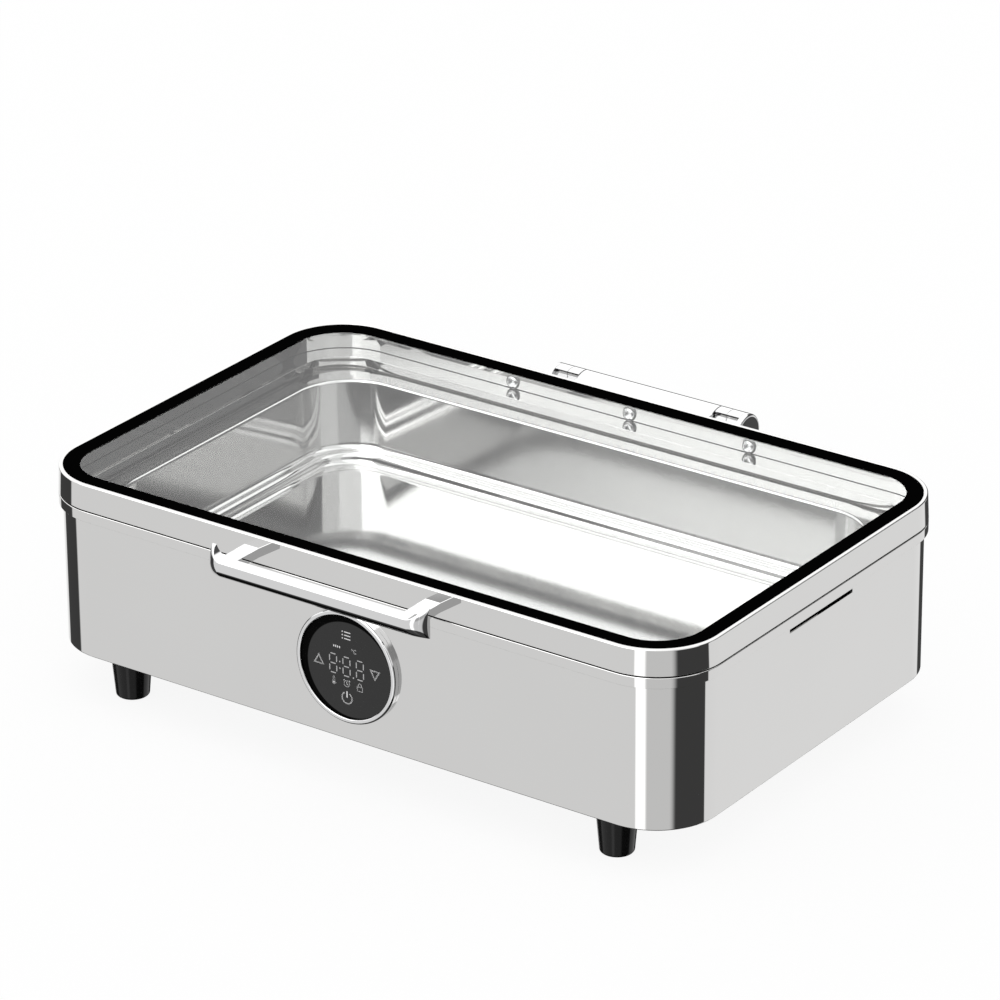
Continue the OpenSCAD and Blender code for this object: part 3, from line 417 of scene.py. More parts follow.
class Skin:
    """Faces that carry the surface's own directions, welded into one mesh. Sizes in millimetres."""

    def __init__(self):
        self.faces, self.ways = [], []

    def face(self, points, ways):
        points, ways = np.asarray(points, float), np.asarray(ways, float)
        if ways.ndim == 1:
            ways = np.repeat(ways[None], len(points), 0)
        area = np.cross(points, np.roll(points, -1, 0)).sum(0)
        if area @ ways.sum(0) < 0:
            points, ways = points[::-1], ways[::-1]
        self.faces.append(points)
        self.ways.append(ways)

    def grid(self, points, ways, round_u=False, skip=()):
        """Quads between rows of points. round_u joins the last point of a row to the first."""
        rows, count = points.shape[:2]
        for i in range(rows - 1):
            for j in range(count if round_u else count - 1):
                if (i, j) in skip:
                    continue
                k = (j + 1) % count
                spots = ((i, j), (i, k), (i + 1, k), (i + 1, j))
                self.face([points[s] for s in spots], [ways[s] for s in spots])

    def mesh(self, name):
        index, places, faces, ways = {}, [], [], []
        for points, directions in zip(self.faces, self.ways):
            loop, kept = [], []
            for p, n in zip(points, directions):
                key = tuple(np.round(p, 3))
                if key not in index:
                    index[key] = len(places)
                    places.append(tuple(p * MM))
                if index[key] not in loop:
                    loop.append(index[key])
                    kept.append(n / (np.linalg.norm(n) or 1))
            if len(loop) > 2:
                faces.append(loop)
                ways.extend(kept)
        mesh = bpy.data.meshes.new(name)
        mesh.from_pydata(places, [], faces)
        mesh.polygons.foreach_set("use_smooth", [True] * len(faces))
        mesh.normals_split_custom_set([tuple(n) for n in ways])
        mesh.update()
        return mesh


def filleted(points, radii, closed=True, steps=BEND_STEPS):
    """Steps along a line with rounded corners, each with its start, its end and the directions at both.

    The outside is on the right.
    """
    p = [np.array(q, float) for q in points]
    count = len(p)
    right = lambda d: np.array([d[1], -d[0]])
    heads = []
    for i in range(count):
        if not closed and i in (0, count - 1):
            heads.append(None)
            continue
        u, v = p[i] - p[i - 1], p[(i + 1) % count] - p[i]
        u, v = u / np.linalg.norm(u), v / np.linalg.norm(v)
        angle = math.atan2(u[0] * v[1] - u[1] * v[0], u @ v)
        heads.append((u, v, angle, radii[i] * math.tan(abs(angle) / 2)))
    out = []

    def end_of(i, leaving):
        if heads[i] is None:
            return p[i]
        u, v, _, cut = heads[i]
        return p[i] + v * cut if leaving else p[i] - u * cut

    for i in range(count if closed else count - 1):
        k = (i + 1) % count
        a, b = end_of(i, True), end_of(k, False)
        d = (p[k] - p[i]) / np.linalg.norm(p[k] - p[i])
        if np.linalg.norm(b - a) > 1e-6:
            out.append((a, b, right(d), right(d)))
        if heads[k] is None or radii[k] <= 0 or abs(heads[k][2]) < 1e-6:
            continue
        u, _, angle, _ = heads[k]
        side = 1 if angle > 0 else -1
        centre = b - right(u) * radii[k] * side
        ways = []
        for s in range(steps + 1):
            c, q = math.cos(angle * s / steps), math.sin(angle * s / steps)
            n = right(u)
            ways.append(np.array([c * n[0] - q * n[1], q * n[0] + c * n[1]]))
        spots = [centre + side * radii[k] * n for n in ways]
        out.extend(zip(spots, spots[1:], ways, ways[1:]))
    return out


def mitres(points, closed=False):
    """Points of a line, and how far each of them moves when the line moves to its left by 1."""
    p = [np.array(q, float) for q in points]
    left = []
    for a, b in zip(p, p[1:] + p[:1] if closed else p[1:]):
        d = (b - a) / np.linalg.norm(b - a)
        left.append(np.array([-d[1], d[0]]))
    moves = []
    for i in range(len(p)):
        a, b = left[i - 1 if closed else max(i - 1, 0)], left[min(i, len(left) - 1)]
        moves.append((a + b) / (1 + a @ b))
    return p, moves


def ring(outline, height, marks=(), back_marks=()):
    """Points and outward directions round a rounded rectangle.

    marks are further points on its ends, by y, and back_marks on its back, by x.
    """
    length, width, radius = outline
    radius = max(radius, 0.01)
    spots, outs = [], []
    for k, (sx, sy) in enumerate(((1, 1), (-1, 1), (-1, -1), (1, -1))):
        for s in range(CORNER_STEPS + 1):
            a = math.radians(90 * (k + s / CORNER_STEPS))
            o = (math.cos(a), math.sin(a), 0)
            x, y = sx * (length / 2 - radius), sy * (width / 2 - radius)
            spots.append((x + radius * o[0], y + radius * o[1], height))
            outs.append(o)
        if k == 0:
            for x in sorted(back_marks, reverse=True):
                spots.append((x, width / 2, height))
                outs.append((0, 1, 0))
        if k in (1, 3):
            for y in sorted(marks, reverse=k == 1):
                spots.append((-length / 2 if k == 1 else length / 2, y, height))
                outs.append((-1 if k == 1 else 1, 0, 0))
    return np.array(spots), np.array(outs)


def grown(outline):
    """The outline moved out by x."""
    return lambda x: (outline[0] + 2 * x, outline[1] + 2 * x, outline[2] + x)


def sweep(skin, outline_at, steps, marks=(), skip=(), back_marks=()):
    """Sweeps a section round: its x picks the outline, its y is the height.

    skip lists the faces left out, as step and point.
    """
    up = np.array([0, 0, 1.0])
    for i, (a, b, na, nb) in enumerate(steps):
        pa, out = ring(outline_at(a[0]), a[1], marks, back_marks)
        pb, _ = ring(outline_at(b[0]), b[1], marks, back_marks)
        ways = np.stack([out * na[0] + up * na[1], out * nb[0] + up * nb[1]])
        skin.grid(np.stack([pa, pb]), ways, True, {(0, j) for n, j in skip if n == i})


def spokes_round(axis, turns):
    """Angles round an axis and the directions away from it."""
    side = np.array((0, 0, 1.0)) if abs(axis[2]) < 0.5 else np.array((1.0, 0, 0))
    over = np.cross(axis, side)
    angles = np.arange(turns) * 2 * math.pi / turns
    return angles, np.cos(angles)[:, None] * side + np.sin(angles)[:, None] * over


def lathe(skin, steps, centre, axis, turns):
    """Turns a section (radius, along) about an axis through a point."""
    axis = np.array(axis, float)
    _, spokes = spokes_round(axis, turns)
    for a, b, na, nb in steps:
        points = np.stack([np.array(centre) + spokes * q[0] + axis * q[1] for q in (a, b)])
        ways = np.stack([spokes * n[0] + axis * n[1] for n in (na, nb)])
        skin.grid(points, ways, True)


def extrude_x(skin, steps, low, high, edge):
    """A section in y and z run along X, with its end edges eased."""
    pull = lambda q, n: np.array([0, q[0] - edge * n[0], q[1] - edge * n[1]])
    flat = lambda q: np.array([0, q[0], q[1]])
    for a, b, na, nb in steps:
        sides = np.stack([flat(na), flat(nb)])
        for x0, x1, way in ((low, low + edge, -1), (high, high - edge, 1)):
            capped = np.array([way, 0, 0.0])
            outer = np.stack([pull(a, na), pull(b, nb)]) + [x0, 0, 0]
            inner = np.stack([flat(a), flat(b)]) + [x1, 0, 0]
            skin.grid(np.stack([outer, inner]), np.stack([np.stack([capped, capped]), sides]))
        body = np.stack([flat(a), flat(b)])
        skin.grid(np.stack([body + [low + edge, 0, 0], body + [high - edge, 0, 0]]), np.stack([sides, sides]))
    for x, way in ((low, -1), (high, 1)):
        skin.face([pull(a, n) + [x, 0, 0] for a, _, n, _ in steps], (way, 0, 0))


def brick(skin, low, high, edge):
    """A block with eased edges along X."""
    (x0, y0, z0), (x1, y1, z1) = low, high
    section = filleted([(y0, z0), (y1, z0), (y1, z1), (y0, z1)], [edge] * 4, True, 3)
    extrude_x(skin, section, x0, x1, edge)


def piece(name, skin, body, slot, *nodes, finish=None):
    """One finished piece: its mesh, its finish, the body it rides on and the CAD nodes that it stands for."""
    mesh = skin.mesh(name) if isinstance(skin, Skin) else skin
    if not mesh.materials:
        mesh.materials.append(finish or FINISHES[slot])
    made = bpy.data.objects.new(name, mesh)
    SCENE.collection.objects.link(made)
    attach(made, body)
    if nodes:
        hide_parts(*nodes)
    return made


def swept_piece(name, body, slot, outline_at, section, *nodes, floor=None, finish=None):
    """A piece of one section run round. floor is a place in the section, with a top and an underside."""
    skin = Skin()
    sweep(skin, outline_at, section)
    if floor:
        x, top, under = floor
        for height, way in ((top, 1), (under, -1)):
            skin.face(ring(outline_at(x), height)[0], (0, 0, way))
    piece(name, skin, body, slot, *nodes, finish=finish)


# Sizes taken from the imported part

SHELL_LOW, SHELL_HIGH = span("outer_shell")
WELL_LOW, WELL_HIGH = span("water_pan")
PAN_LOW, PAN_HIGH = span("food_pan")
LID_LOW, LID_HIGH = span("lid_frame")
SEAL_LOW, SEAL_HIGH = span("glass_seal")
PANE_LOW, PANE_HIGH = span("lid_glass")
HANDLE_LOW, HANDLE_HIGH = span("handle")
BEZEL_LOW, BEZEL_HIGH = span("panel_bezel")
ARM_LOW, ARM_HIGH = span("hinge_arm")
BRACKET_LOW, BRACKET_HIGH = span("hinge_bracket")
CAP_LOW, CAP_HIGH = span("hinge_cap_right")
INLET_LOW, INLET_HIGH = span("inlet_socket")

BODY_CORNER = 50
OVERHANG = WELL_HIGH[0] - SHELL_HIGH[0]
BODY = (*(SHELL_HIGH - SHELL_LOW)[:2], BODY_CORNER)
RIM = (*(WELL_HIGH - WELL_LOW)[:2], BODY_CORNER + OVERHANG)
LID = (*(LID_HIGH - LID_LOW)[:2], BODY_CORNER + OVERHANG)
SEAL_IN = LID_HIGH[0] - SEAL_HIGH[0]
SEAL_WIDTH, SEAL_WEB = 10.9, 2
RECESS = (533, 328, 35.5)
WELL = (512, 310, 40)
MOUTH = (498, 293, 46)
SHEET = 1.0

# Body

VENT_HALF, VENT_BACK, VENT_HEIGHT, VENT_DROP = 41, 4.5, 3, 13
BOTTOM_FLANGE, BOTTOM_EDGE = 45, 1.1
INLET_HOLE = (29, 21)


def cut_edges(skin, axis, outer, inner, across, heights):
    """Edges of a rectangular hole in a wall that faces along X (axis 0) or Y (axis 1)."""
    def spot(deep, over, z):
        return (deep, over, z) if axis == 0 else (over, deep, z)

    (a, b), (low, top) = across, heights
    for over, way in ((a, 1), (b, -1)):
        corners = ((outer, low), (inner, low), (inner, top), (outer, top))
        skin.face([spot(deep, over, z) for deep, z in corners], spot(0, way, 0))
    for z, way in ((low, 1), (top, -1)):
        corners = ((outer, a), (inner, a), (inner, b), (outer, b))
        skin.face([spot(deep, over, z) for deep, over in corners], (0, 0, way))


def shell_body():
    """Outer shell: an upright sheet with a slot at each end, a hole for the inlet and a flange below."""
    low, top = SHELL_LOW[2], SHELL_HIGH[2]
    slot_mid = WELL_HIGH[2] - VENT_DROP
    slot_low, slot_top = slot_mid - VENT_HEIGHT / 2, slot_mid + VENT_HEIGHT / 2
    inlet_x, inlet_z = (INLET_LOW[0] + INLET_HIGH[0]) / 2, (INLET_LOW[2] + INLET_HIGH[2]) / 2
    hole_low, hole_top = inlet_z - INLET_HOLE[1] / 2, inlet_z + INLET_HOLE[1] / 2
    points = [
        (-BOTTOM_FLANGE, low), (0, low), (0, hole_low), (0, hole_top), (0, slot_low), (0, slot_top), (0, top),
        (-SHEET, top), (-SHEET, slot_top), (-SHEET, slot_low), (-SHEET, hole_top), (-SHEET, hole_low),
        (-SHEET, low + SHEET), (-BOTTOM_FLANGE, low + SHEET),
    ]
    radii = [0, BOTTOM_EDGE, 0, 0, 0, 0, 0, 0, 0, 0, 0, 0, BOTTOM_EDGE - SHEET, 0]
    steps = filleted(points, radii, True, 4)
    marks = (VENT_BACK - VENT_HALF, VENT_BACK + VENT_HALF)
    back_marks = (inlet_x - INLET_HOLE[0] / 2, inlet_x + INLET_HOLE[0] / 2)
    round_points, _ = ring(BODY, 0, marks, back_marks)
    edges = list(zip(round_points, np.roll(round_points, -1, 0)))

    def wall_at(z):
        level = [abs((a[1] + b[1]) / 2 - z) < 0.1 for a, b, _, _ in steps]
        return [i for i, step in enumerate(steps) if level[i] and abs(step[2][0]) > 0.9]

    def between(axis, limits):
        hit = lambda q: min(abs(q[axis] - m) for m in limits) < 1e-6
        return [j for j, (a, b) in enumerate(edges) if hit(a) and hit(b)]

    skin = Skin()
    left_out = {(i, j) for i in wall_at(slot_mid) for j in between(1, marks)}
    left_out |= {(i, j) for i in wall_at(inlet_z) for j in between(0, back_marks)}
    sweep(skin, grown(BODY), steps, marks, left_out, back_marks)
    cut_edges(skin, 1, BODY[1] / 2, BODY[1] / 2 - SHEET, back_marks, (hole_low, hole_top))
    for side in (-1, 1):
        cut_edges(skin, 0, side * BODY[0] / 2, side * (BODY[0] / 2 - SHEET), marks, (slot_low, slot_top))
    piece("shell_body", skin, "base", "polished_stainless", "outer_shell")


RIM_BAND, LEDGE_DROP, LIP_CLEAR = 8, 9.4, 0.02
GROOVE_WIDE, GROOVE_DEEP, WELL_BEND, FLOOR_EDGE = 3.4, 5, 6, 20


def water_well():
    """Rim band, land, recess for the pan and the water well, one drawn sheet."""
    top, floor = WELL_HIGH[2], WELL_LOW[2] + SHEET
    band, ledge = top - RIM_BAND, top - LEDGE_DROP
    rim, lip = RIM[1] / 2, BODY[1] / 2 + LIP_CLEAR
    recess, well = RECESS[1] / 2, WELL[1] / 2
    groove, trough, edge = recess - GROOVE_WIDE, ledge - GROOVE_DEEP, well - FLOOR_EDGE
    known = sorted([
        (rim, RIM), (lip, grown(BODY)(LIP_CLEAR)), (recess + SHEET, grown(RECESS)(SHEET)), (recess, RECESS),
        (well + SHEET, grown(WELL)(SHEET)), (well, WELL), (edge, grown(WELL)(-FLOOR_EDGE)),
    ])
    xs, outlines = zip(*known)
    outline_at = lambda x: tuple(np.interp(x, xs, sizes) for sizes in zip(*outlines))
    points = [
        (lip, band), (rim, band), (rim, top), (recess, top), (recess, trough), (groove, trough),
        (groove, ledge), (well, ledge), (well, floor), (edge, floor), (edge, floor - SHEET),
        (well + SHEET, floor - SHEET), (well + SHEET, ledge - SHEET),
        (groove - SHEET, ledge - SHEET), (groove - SHEET, trough - SHEET),
        (recess + SHEET, trough - SHEET), (recess + SHEET, top - SHEET), (rim - SHEET, top - SHEET),
        (rim - SHEET, band + SHEET), (lip, band + SHEET),
    ]
    upper_radii = [0, 0.15, 0.7, 0.3, 0.4, 0.4, 0.4, 1.0, WELL_BEND, 0]
    under_radii = [0, WELL_BEND + SHEET, 0, 0, 0, 0, 0, 0, 0, 0]
    steps = filleted(points, upper_radii + under_radii)
    steps = [s for s in steps if not (s[0][0] == s[1][0] == edge)]
    middle = (edge, floor, floor - SHEET)
    swept_piece("water_well", "base", "polished_stainless", outline_at, steps, "water_pan", floor=middle)


FLANGE, PAN_DRAFT, SHELF_UP, SHELF_IN, STEP_IN, FLOOR_IN = 14.2, 1.6, 9, 10.5, 13.25, 24
MOUTH_BEND, SHELF_BEND = 2.2, 5


def dish_pan():
    """Lift-out pan: flat flange, leaning sides, a ledge round the floor."""
    top, under = PAN_HIGH[2], PAN_LOW[2]
    floor, shelf = under + SHEET, under + SHELF_UP
    line = [
        (FLANGE, top), (0, top), (-PAN_DRAFT, shelf), (-SHELF_IN, shelf), (-STEP_IN, floor),
        (-FLOOR_IN, floor),
    ]
    bends = [0, MOUTH_BEND, SHELF_BEND, SHELF_BEND, SHELF_BEND, 0]
    back = [q + SHEET * move for q, move in zip(*mitres(line))][::-1]
    grow = [0, -SHEET, SHEET, -SHEET, SHEET, 0][::-1]
    back_bends = [max(0, b - g) for b, g in zip(bends[::-1], grow)]
    section = filleted(line + back, bends + back_bends, True, 8)
    section = [s for s in section if max(abs(s[0][0] + FLOOR_IN), abs(s[1][0] + FLOOR_IN)) >= 1e-6]
    if section[0][2][1] < 0:
        section = [(a, b, -na, -nb) for a, b, na, nb in section]
    swept_piece(
        "dish_pan", "pan", "polished_stainless", grown(MOUTH), section, "food_pan",
        floor=(-FLOOR_IN, floor, under), finish=PAN_STEEL,
    )


# Lid

LID_WALL, LID_LEAN, SEAM = 1.5, 0.9, 0.6
SEAL_OUT, SEAL_CLEAR = 1.4, 0.2
# Black strip of painted shade under the lid's wall: inner and outer inset from the wall's face, and how far
# it reaches up.
SHADE_STRIP_IN, SHADE_STRIP_OUT, SHADE_STRIP_REACH = 0.8, 0.45, 0.3
PANE_EDGE, PANE_RIM = 0.4, 9


def lid_rim():
    """Lid frame: a bright band with a seat for the pane's seal."""
    low, top = LID_LOW[2], LID_HIGH[2]
    seat, edge = SEAL_LOW[2], SEAL_IN - SEAL_OUT - SEAL_CLEAR
    inner = SEAL_IN + SEAL_WEB
    # The wall's foot is cut back to make room for the black strip of painted shade.
    points = [
        (0, low + SEAM), (-LID_LEAN, top), (-edge, top), (-edge, seat), (-inner, seat),
        (-inner, seat - LID_WALL), (-LID_WALL, seat - LID_WALL), (-LID_WALL, low), (-SHADE_STRIP_IN, low),
        (-SHADE_STRIP_IN, low + SEAM),
    ]
    section = filleted(points, [0.3, 0.9, 0.3, 0, 0.2, 0.4, 1.2, 0.15, 0, 0])
    swept_piece("lid_rim", "lid", "polished_stainless", grown(LID), section, "lid_frame")


def pane_seal():
    """Black seal: a channel round the edge of the pane."""
    low, top = SEAL_LOW[2], SEAL_HIGH[2]
    outline = (*(SEAL_HIGH - SEAL_LOW)[:2], LID[2] - SEAL_IN)
    points = [
        (SEAL_OUT, low), (SEAL_OUT, top), (-SEAL_WIDTH, top), (-SEAL_WIDTH, PANE_HIGH[2]),
        (-SEAL_WEB, PANE_HIGH[2]), (-SEAL_WEB, low),
    ]
    section = filleted(points, [0.2, 0.25, 0.35, 0, 0, 0.2], True, 3)
    swept_piece("pane_seal", "lid", "black_silicone", grown(outline), section, "glass_seal")


def lid_gasket():
    """Thin black strip under the lid's wall, in the gap to the body: painted shade for the shadow in that
    gap.
    """
    low, top = WELL_HIGH[2] + LIP_CLEAR, LID_LOW[2] + SEAM + SHADE_STRIP_REACH
    points = [(-SHADE_STRIP_OUT, low), (-SHADE_STRIP_OUT, top), (-SHADE_STRIP_IN, top), (-SHADE_STRIP_IN, low)]
    section = filleted(points, [0.15, 0, 0, 0.15], True, 3)
    swept_piece("lid_gasket", "lid", "black_silicone", grown(LID), section)


def lid_pane():
    """Clear pane with ground edges."""
    low, top = PANE_LOW[2], PANE_HIGH[2]
    outline = (*(PANE_HIGH - PANE_LOW)[:2], LID[2] - SEAL_IN - SEAL_WEB)
    points = [(-PANE_RIM, low), (0, low), (0, top), (-PANE_RIM, top)]
    section = filleted(points, [0, PANE_EDGE, PANE_EDGE, 0], False, 3)
    middle = (-PANE_RIM, top, low)
    swept_piece("lid_pane", "lid", "clear_glass", grown(outline), section, "lid_glass", floor=middle)


BAR_RADIUS, SCOOP_RADIUS, SCOOP_TIP = 11.8, 12, 3
SCOOP_DROP, BAR_DROP, ARM_WIDTH, ARM_HEIGHT, ARM_SPAN = 8, 12, 13.6, 7.6, 172.8
BAR_UNDER, BAR_EASE, END_RUN, END_BACK, END_ROUND = 0.97, 0.5, 12, 9, 1.6
ARM_LAP, ARM_EDGE, CREST_SHARE, LEAST = 0.8, 0.6, 0.9995, 0.01
SCOOP_Z = LID_HIGH[2] - SCOOP_DROP
BAR_BACK = HANDLE_LOW[1] + BAR_RADIUS


def surface_ways(points, facing):
    """Directions of a grid of points, turned to the side that facing points to."""
    along = np.gradient(points, axis=0)
    across = np.gradient(points, axis=1)
    ways = np.cross(along, across)
    ways /= np.maximum(np.linalg.norm(ways, axis=2, keepdims=True), 1e-9)
    return ways if (ways * facing).sum() > 0 else -ways


def bar_stations(half, scoop_half):
    """Places along the bar, closer together where its top rises and where its ends bow back."""
    middle = np.linspace(0, scoop_half, 9)
    rise = scoop_half + SCOOP_RADIUS * np.sin(np.linspace(0, math.radians(70), 22))
    ends = half - END_RUN + END_RUN * np.sin(np.linspace(0, math.pi / 2, 30))
    xs = np.unique(np.round(np.concatenate([middle, rise, ends]), 4))
    return np.concatenate([-xs[:0:-1], xs])


def lift_handle():
    """Half-round bar whose top is scooped between raised, rounded ends."""
    half, axis_z = HANDLE_HIGH[0], LID_HIGH[2] - BAR_DROP
    scoop_half = half - SCOOP_RADIUS - SCOOP_TIP
    xs = bar_stations(half, scoop_half)
    far = np.abs(xs)
    past = np.clip(far - scoop_half, 0, SCOOP_RADIUS)
    top = SCOOP_Z + SCOOP_RADIUS - np.sqrt(SCOOP_RADIUS**2 - past**2)
    crest = axis_z + BAR_RADIUS * CREST_SHARE
    top = np.where(far > scoop_half + SCOOP_RADIUS, crest, np.minimum(top, crest))
    bow_in = np.clip((far - half + END_RUN) / END_RUN, 0, 1)
    depth = 1 - END_BACK / BAR_RADIUS * (1 - (1 - bow_in**END_ROUND) ** (1 / END_ROUND))
    bent = BAR_EASE / BAR_RADIUS
    first = np.full_like(xs, -math.pi / 2 + bent)
    last = np.arcsin(np.clip((top - axis_z) / BAR_RADIUS, -1, 1)) - bent
    angle = first[:, None] + (last - first)[:, None] * np.linspace(0, 1, 33)
    height = BAR_RADIUS * np.sin(angle) * np.where(angle < 0, BAR_UNDER, 1)
    front_y = BAR_BACK - depth[:, None] * BAR_RADIUS * np.cos(angle)
    front = np.stack([np.broadcast_to(xs[:, None], angle.shape), front_y, axis_z + height], 2)
    lip = BAR_BACK - depth * BAR_RADIUS * np.cos(last + bent)
    shelf_front = np.minimum(lip + BAR_EASE, BAR_BACK - 2 * LEAST)
    shelf_back = np.maximum(BAR_BACK - BAR_EASE, shelf_front + LEAST)
    back, low = np.full_like(xs, BAR_BACK), np.full_like(xs, axis_z - BAR_RADIUS * BAR_UNDER)
    edge = lambda y, z: np.stack([xs, y, z], 1)
    shelf = np.stack([edge(shelf_front, top), edge(shelf_back, top)], 1)
    rear = np.stack([edge(back, top - BAR_EASE), edge(back, low + BAR_EASE)], 1)
    sides = [
        (front, surface_ways(front, np.array([0, -1.0, 0]))),
        (shelf, surface_ways(shelf, np.array([0, 0, 1.0]))),
        (rear, np.zeros_like(rear) + [0, 1.0, 0]),
    ]
    skin = Skin()
    for points, ways in sides:
        skin.grid(points, ways)
    for this, following in zip(sides, sides[1:] + sides[:1]):
        skin.grid(*(np.stack([a[:, -1], b[:, 0]], 1) for a, b in zip(this, following)))
    for i, way in ((0, -1), (-1, 1)):
        skin.face(np.concatenate([points[i] for points, _ in sides]), (way, 0, 0))
    piece("lift_handle", skin, "lid", "chrome_plate", "handle").visible_glossy = False


def handle_arms():
    """Two flat arms from the lid's wall to the bar."""
    skin = Skin()
    for side in (-1, 1):
        middle = side * (ARM_SPAN - ARM_WIDTH) / 2
        low = (middle - ARM_WIDTH / 2, BAR_BACK - ARM_LAP, SCOOP_Z - ARM_HEIGHT)
        brick(skin, low, (middle + ARM_WIDTH / 2, LID_LOW[1] + LID_WALL, SCOOP_Z), ARM_EDGE)
    piece("handle_arms", skin, "lid", "chrome_plate")


# Hinge

BARREL = 16
AXIS_Y = ARM_HIGH[1] - BARREL
AXIS_Z = WELL_HIGH[2]
NOTCH_Y, NOTCH_Z = 5.9, 10.6
HINGE_PLATE, PLATE_LAP, PLATE_EDGE = 3, 0.5, 0.5
FLANGE_LOW, FLANGE_TOP, ARM_DROP, ARM_BARREL = 155.5, 170.5, 8, 61.2
KNUCKLE, KNUCKLE_ARC, PLATE_DROP = (61.7, 72.2), (-40, 210), 2
HINGE_TURNS, BARREL_EDGE, KNUCKLE_EDGE, CAP_EDGE = 72, 0.4, 0.3, 0.2


def barrel_arc(from_deg, to_deg, count):
    """Steps round the hinge barrel, angle from +Y over the top."""
    angles = np.radians(np.linspace(from_deg, to_deg, count + 1))
    ways = [np.array([math.cos(a), math.sin(a)]) for a in angles]
    spots = [np.array([AXIS_Y, AXIS_Z]) + BARREL * n for n in ways]
    return list(zip(spots, spots[1:], ways, ways[1:]))


def straight_run(points):
    """Steps along straight lines, outside on the right."""
    return filleted(points, [0] * len(points), False)


def barrel_point(deg):
    """A point of the barrel's round, at an angle from +Y over the top."""
    return (AXIS_Y + BARREL * math.cos(math.radians(deg)), AXIS_Z + BARREL * math.sin(math.radians(deg)))


NOTCH_LOW = 180 - math.degrees(math.asin(NOTCH_Z / BARREL))
NOTCH_TOP = 90 + math.degrees(math.asin(NOTCH_Y / BARREL))


def notch_run():
    """Steps from the barrel's top down into the front notch."""
    corner = (AXIS_Y - NOTCH_Y, AXIS_Z + NOTCH_Z)
    return straight_run([barrel_point(NOTCH_TOP), corner, barrel_point(NOTCH_LOW)])


def hinge_lid_half():
    """Flange on the lid's back wall, flat-topped arm and barrel."""
    skin = Skin()
    back = ARM_LOW[1] + HINGE_PLATE
    brick(skin, (*ARM_LOW[:2], FLANGE_LOW), (ARM_HIGH[0], back, FLANGE_TOP), PLATE_EDGE)
    arm_top, root = LID_HIGH[2] - ARM_DROP, back - PLATE_LAP
    meet = 180 - math.degrees(math.asin((arm_top - AXIS_Z) / BARREL))
    arm = [barrel_point(meet), (root, arm_top), (root, FLANGE_LOW + 1), barrel_point(180)]
    section = barrel_arc(-180, meet, HINGE_TURNS) + straight_run(arm)
    extrude_x(skin, section, -ARM_BARREL, ARM_BARREL, BARREL_EDGE)
    piece("hinge_lid_half", skin, "lid", "chrome_plate", "hinge_arm")


def hinge_body_half():
    """Plate on the body's back wall and the two outer knuckles on their webs."""
    skin = Skin()
    back = BRACKET_LOW[1] + HINGE_PLATE
    plate_top, root = WELL_HIGH[2] - RIM_BAND - PLATE_DROP, back - PLATE_LAP
    brick(skin, BRACKET_LOW, (BRACKET_HIGH[0], back, plate_top), PLATE_EDGE)
    start, end = KNUCKLE_ARC
    web = [barrel_point(end), (root, plate_top), (root, BRACKET_LOW[2] + PLATE_EDGE), barrel_point(start)]
    section = barrel_arc(start, NOTCH_TOP, 48) + notch_run() + barrel_arc(NOTCH_LOW, end, 20)
    for side in (-1, 1):
        low, high = sorted(side * x for x in KNUCKLE)
        extrude_x(skin, section + straight_run(web), low, high, KNUCKLE_EDGE)
    piece("hinge_body_half", skin, "base", "chrome_plate", "hinge_bracket")


CAP_END, CAP_BEND, CAP_CLEAR, PLUG, PLUG_CLEAR = 4.6, 2, 0.05, 14, 0.05


def hinge_caps():
    """End caps: a notched length, a full round end with a bent edge, and a dark plug in the end face."""
    section = barrel_arc(NOTCH_LOW - 360, NOTCH_TOP, HINGE_TURNS) + notch_run()
    sunk, plug = CAP_END - 1, PLUG - PLUG_CLEAR
    cap_line = [(0, 0), (BARREL, 0), (BARREL, CAP_END), (PLUG, CAP_END), (PLUG, sunk), (0, sunk)]
    round_end = filleted(cap_line, [0, 0.1, CAP_BEND, 0.2, 0, 0], False, 8)
    plug_end = filleted([(0, 0.2), (plug, 0.2), (plug, 0.9), (0, 1.0)], [0, 0, 0.6, 0], False, 5)
    plugs = Skin()
    for side, node in ((-1, "hinge_cap_left"), (1, "hinge_cap_right")):
        skin = Skin()
        end = side * CAP_HIGH[0]
        shoulder = end - side * CAP_END
        low, high = sorted((side * (CAP_LOW[0] + CAP_CLEAR), shoulder))
        extrude_x(skin, section, low, high, CAP_EDGE)
        lathe(skin, round_end, (shoulder, AXIS_Y, AXIS_Z), (side, 0, 0), HINGE_TURNS)
        lathe(plugs, plug_end, (end - side, AXIS_Y, AXIS_Z), (side, 0, 0), HINGE_TURNS)
        piece(node.replace("hinge_cap", "barrel_cap"), skin, "base", "chrome_plate", node)
    piece("barrel_plugs", plugs, "base", "foot_plastic")


# Control panel

PANEL = np.array([(BEZEL_LOW[0] + BEZEL_HIGH[0]) / 2, 0, (BEZEL_LOW[2] + BEZEL_HIGH[2]) / 2])
FRONT = np.array((0, -1.0, 0))
RING_BEND, RING_CLEAR, NECK, NECK_OUT, PANEL_TURNS = 1.8, 0.1, 36, 38.5, 128
GLASS_RADIUS = (GLASS_HIGH[0] - GLASS_LOW[0]) / 2


def panel_ring():
    """Bright ring round the touch glass, with its neck through the shell."""
    outer, front, wall = (BEZEL_HIGH[0] - BEZEL_LOW[0]) / 2, -BEZEL_LOW[1], -SHELL_LOW[1]
    pocket, seat, end = GLASS_RADIUS + RING_CLEAR, -GLASS_HIGH[1], -BEZEL_HIGH[1]
    points = [
        (NECK_OUT, wall), (outer, wall), (outer, front), (pocket, front), (pocket, seat), (NECK, seat),
        (NECK, end), (NECK_OUT, end),
    ]
    section = filleted(points, [0, 0.2, RING_BEND, 0.9, 0, 0, 0, 0], True, 8)
    skin = Skin()
    lathe(skin, section, PANEL, FRONT, PANEL_TURNS)
    piece("panel_ring", skin, "base", "chrome_plate", "panel_bezel")


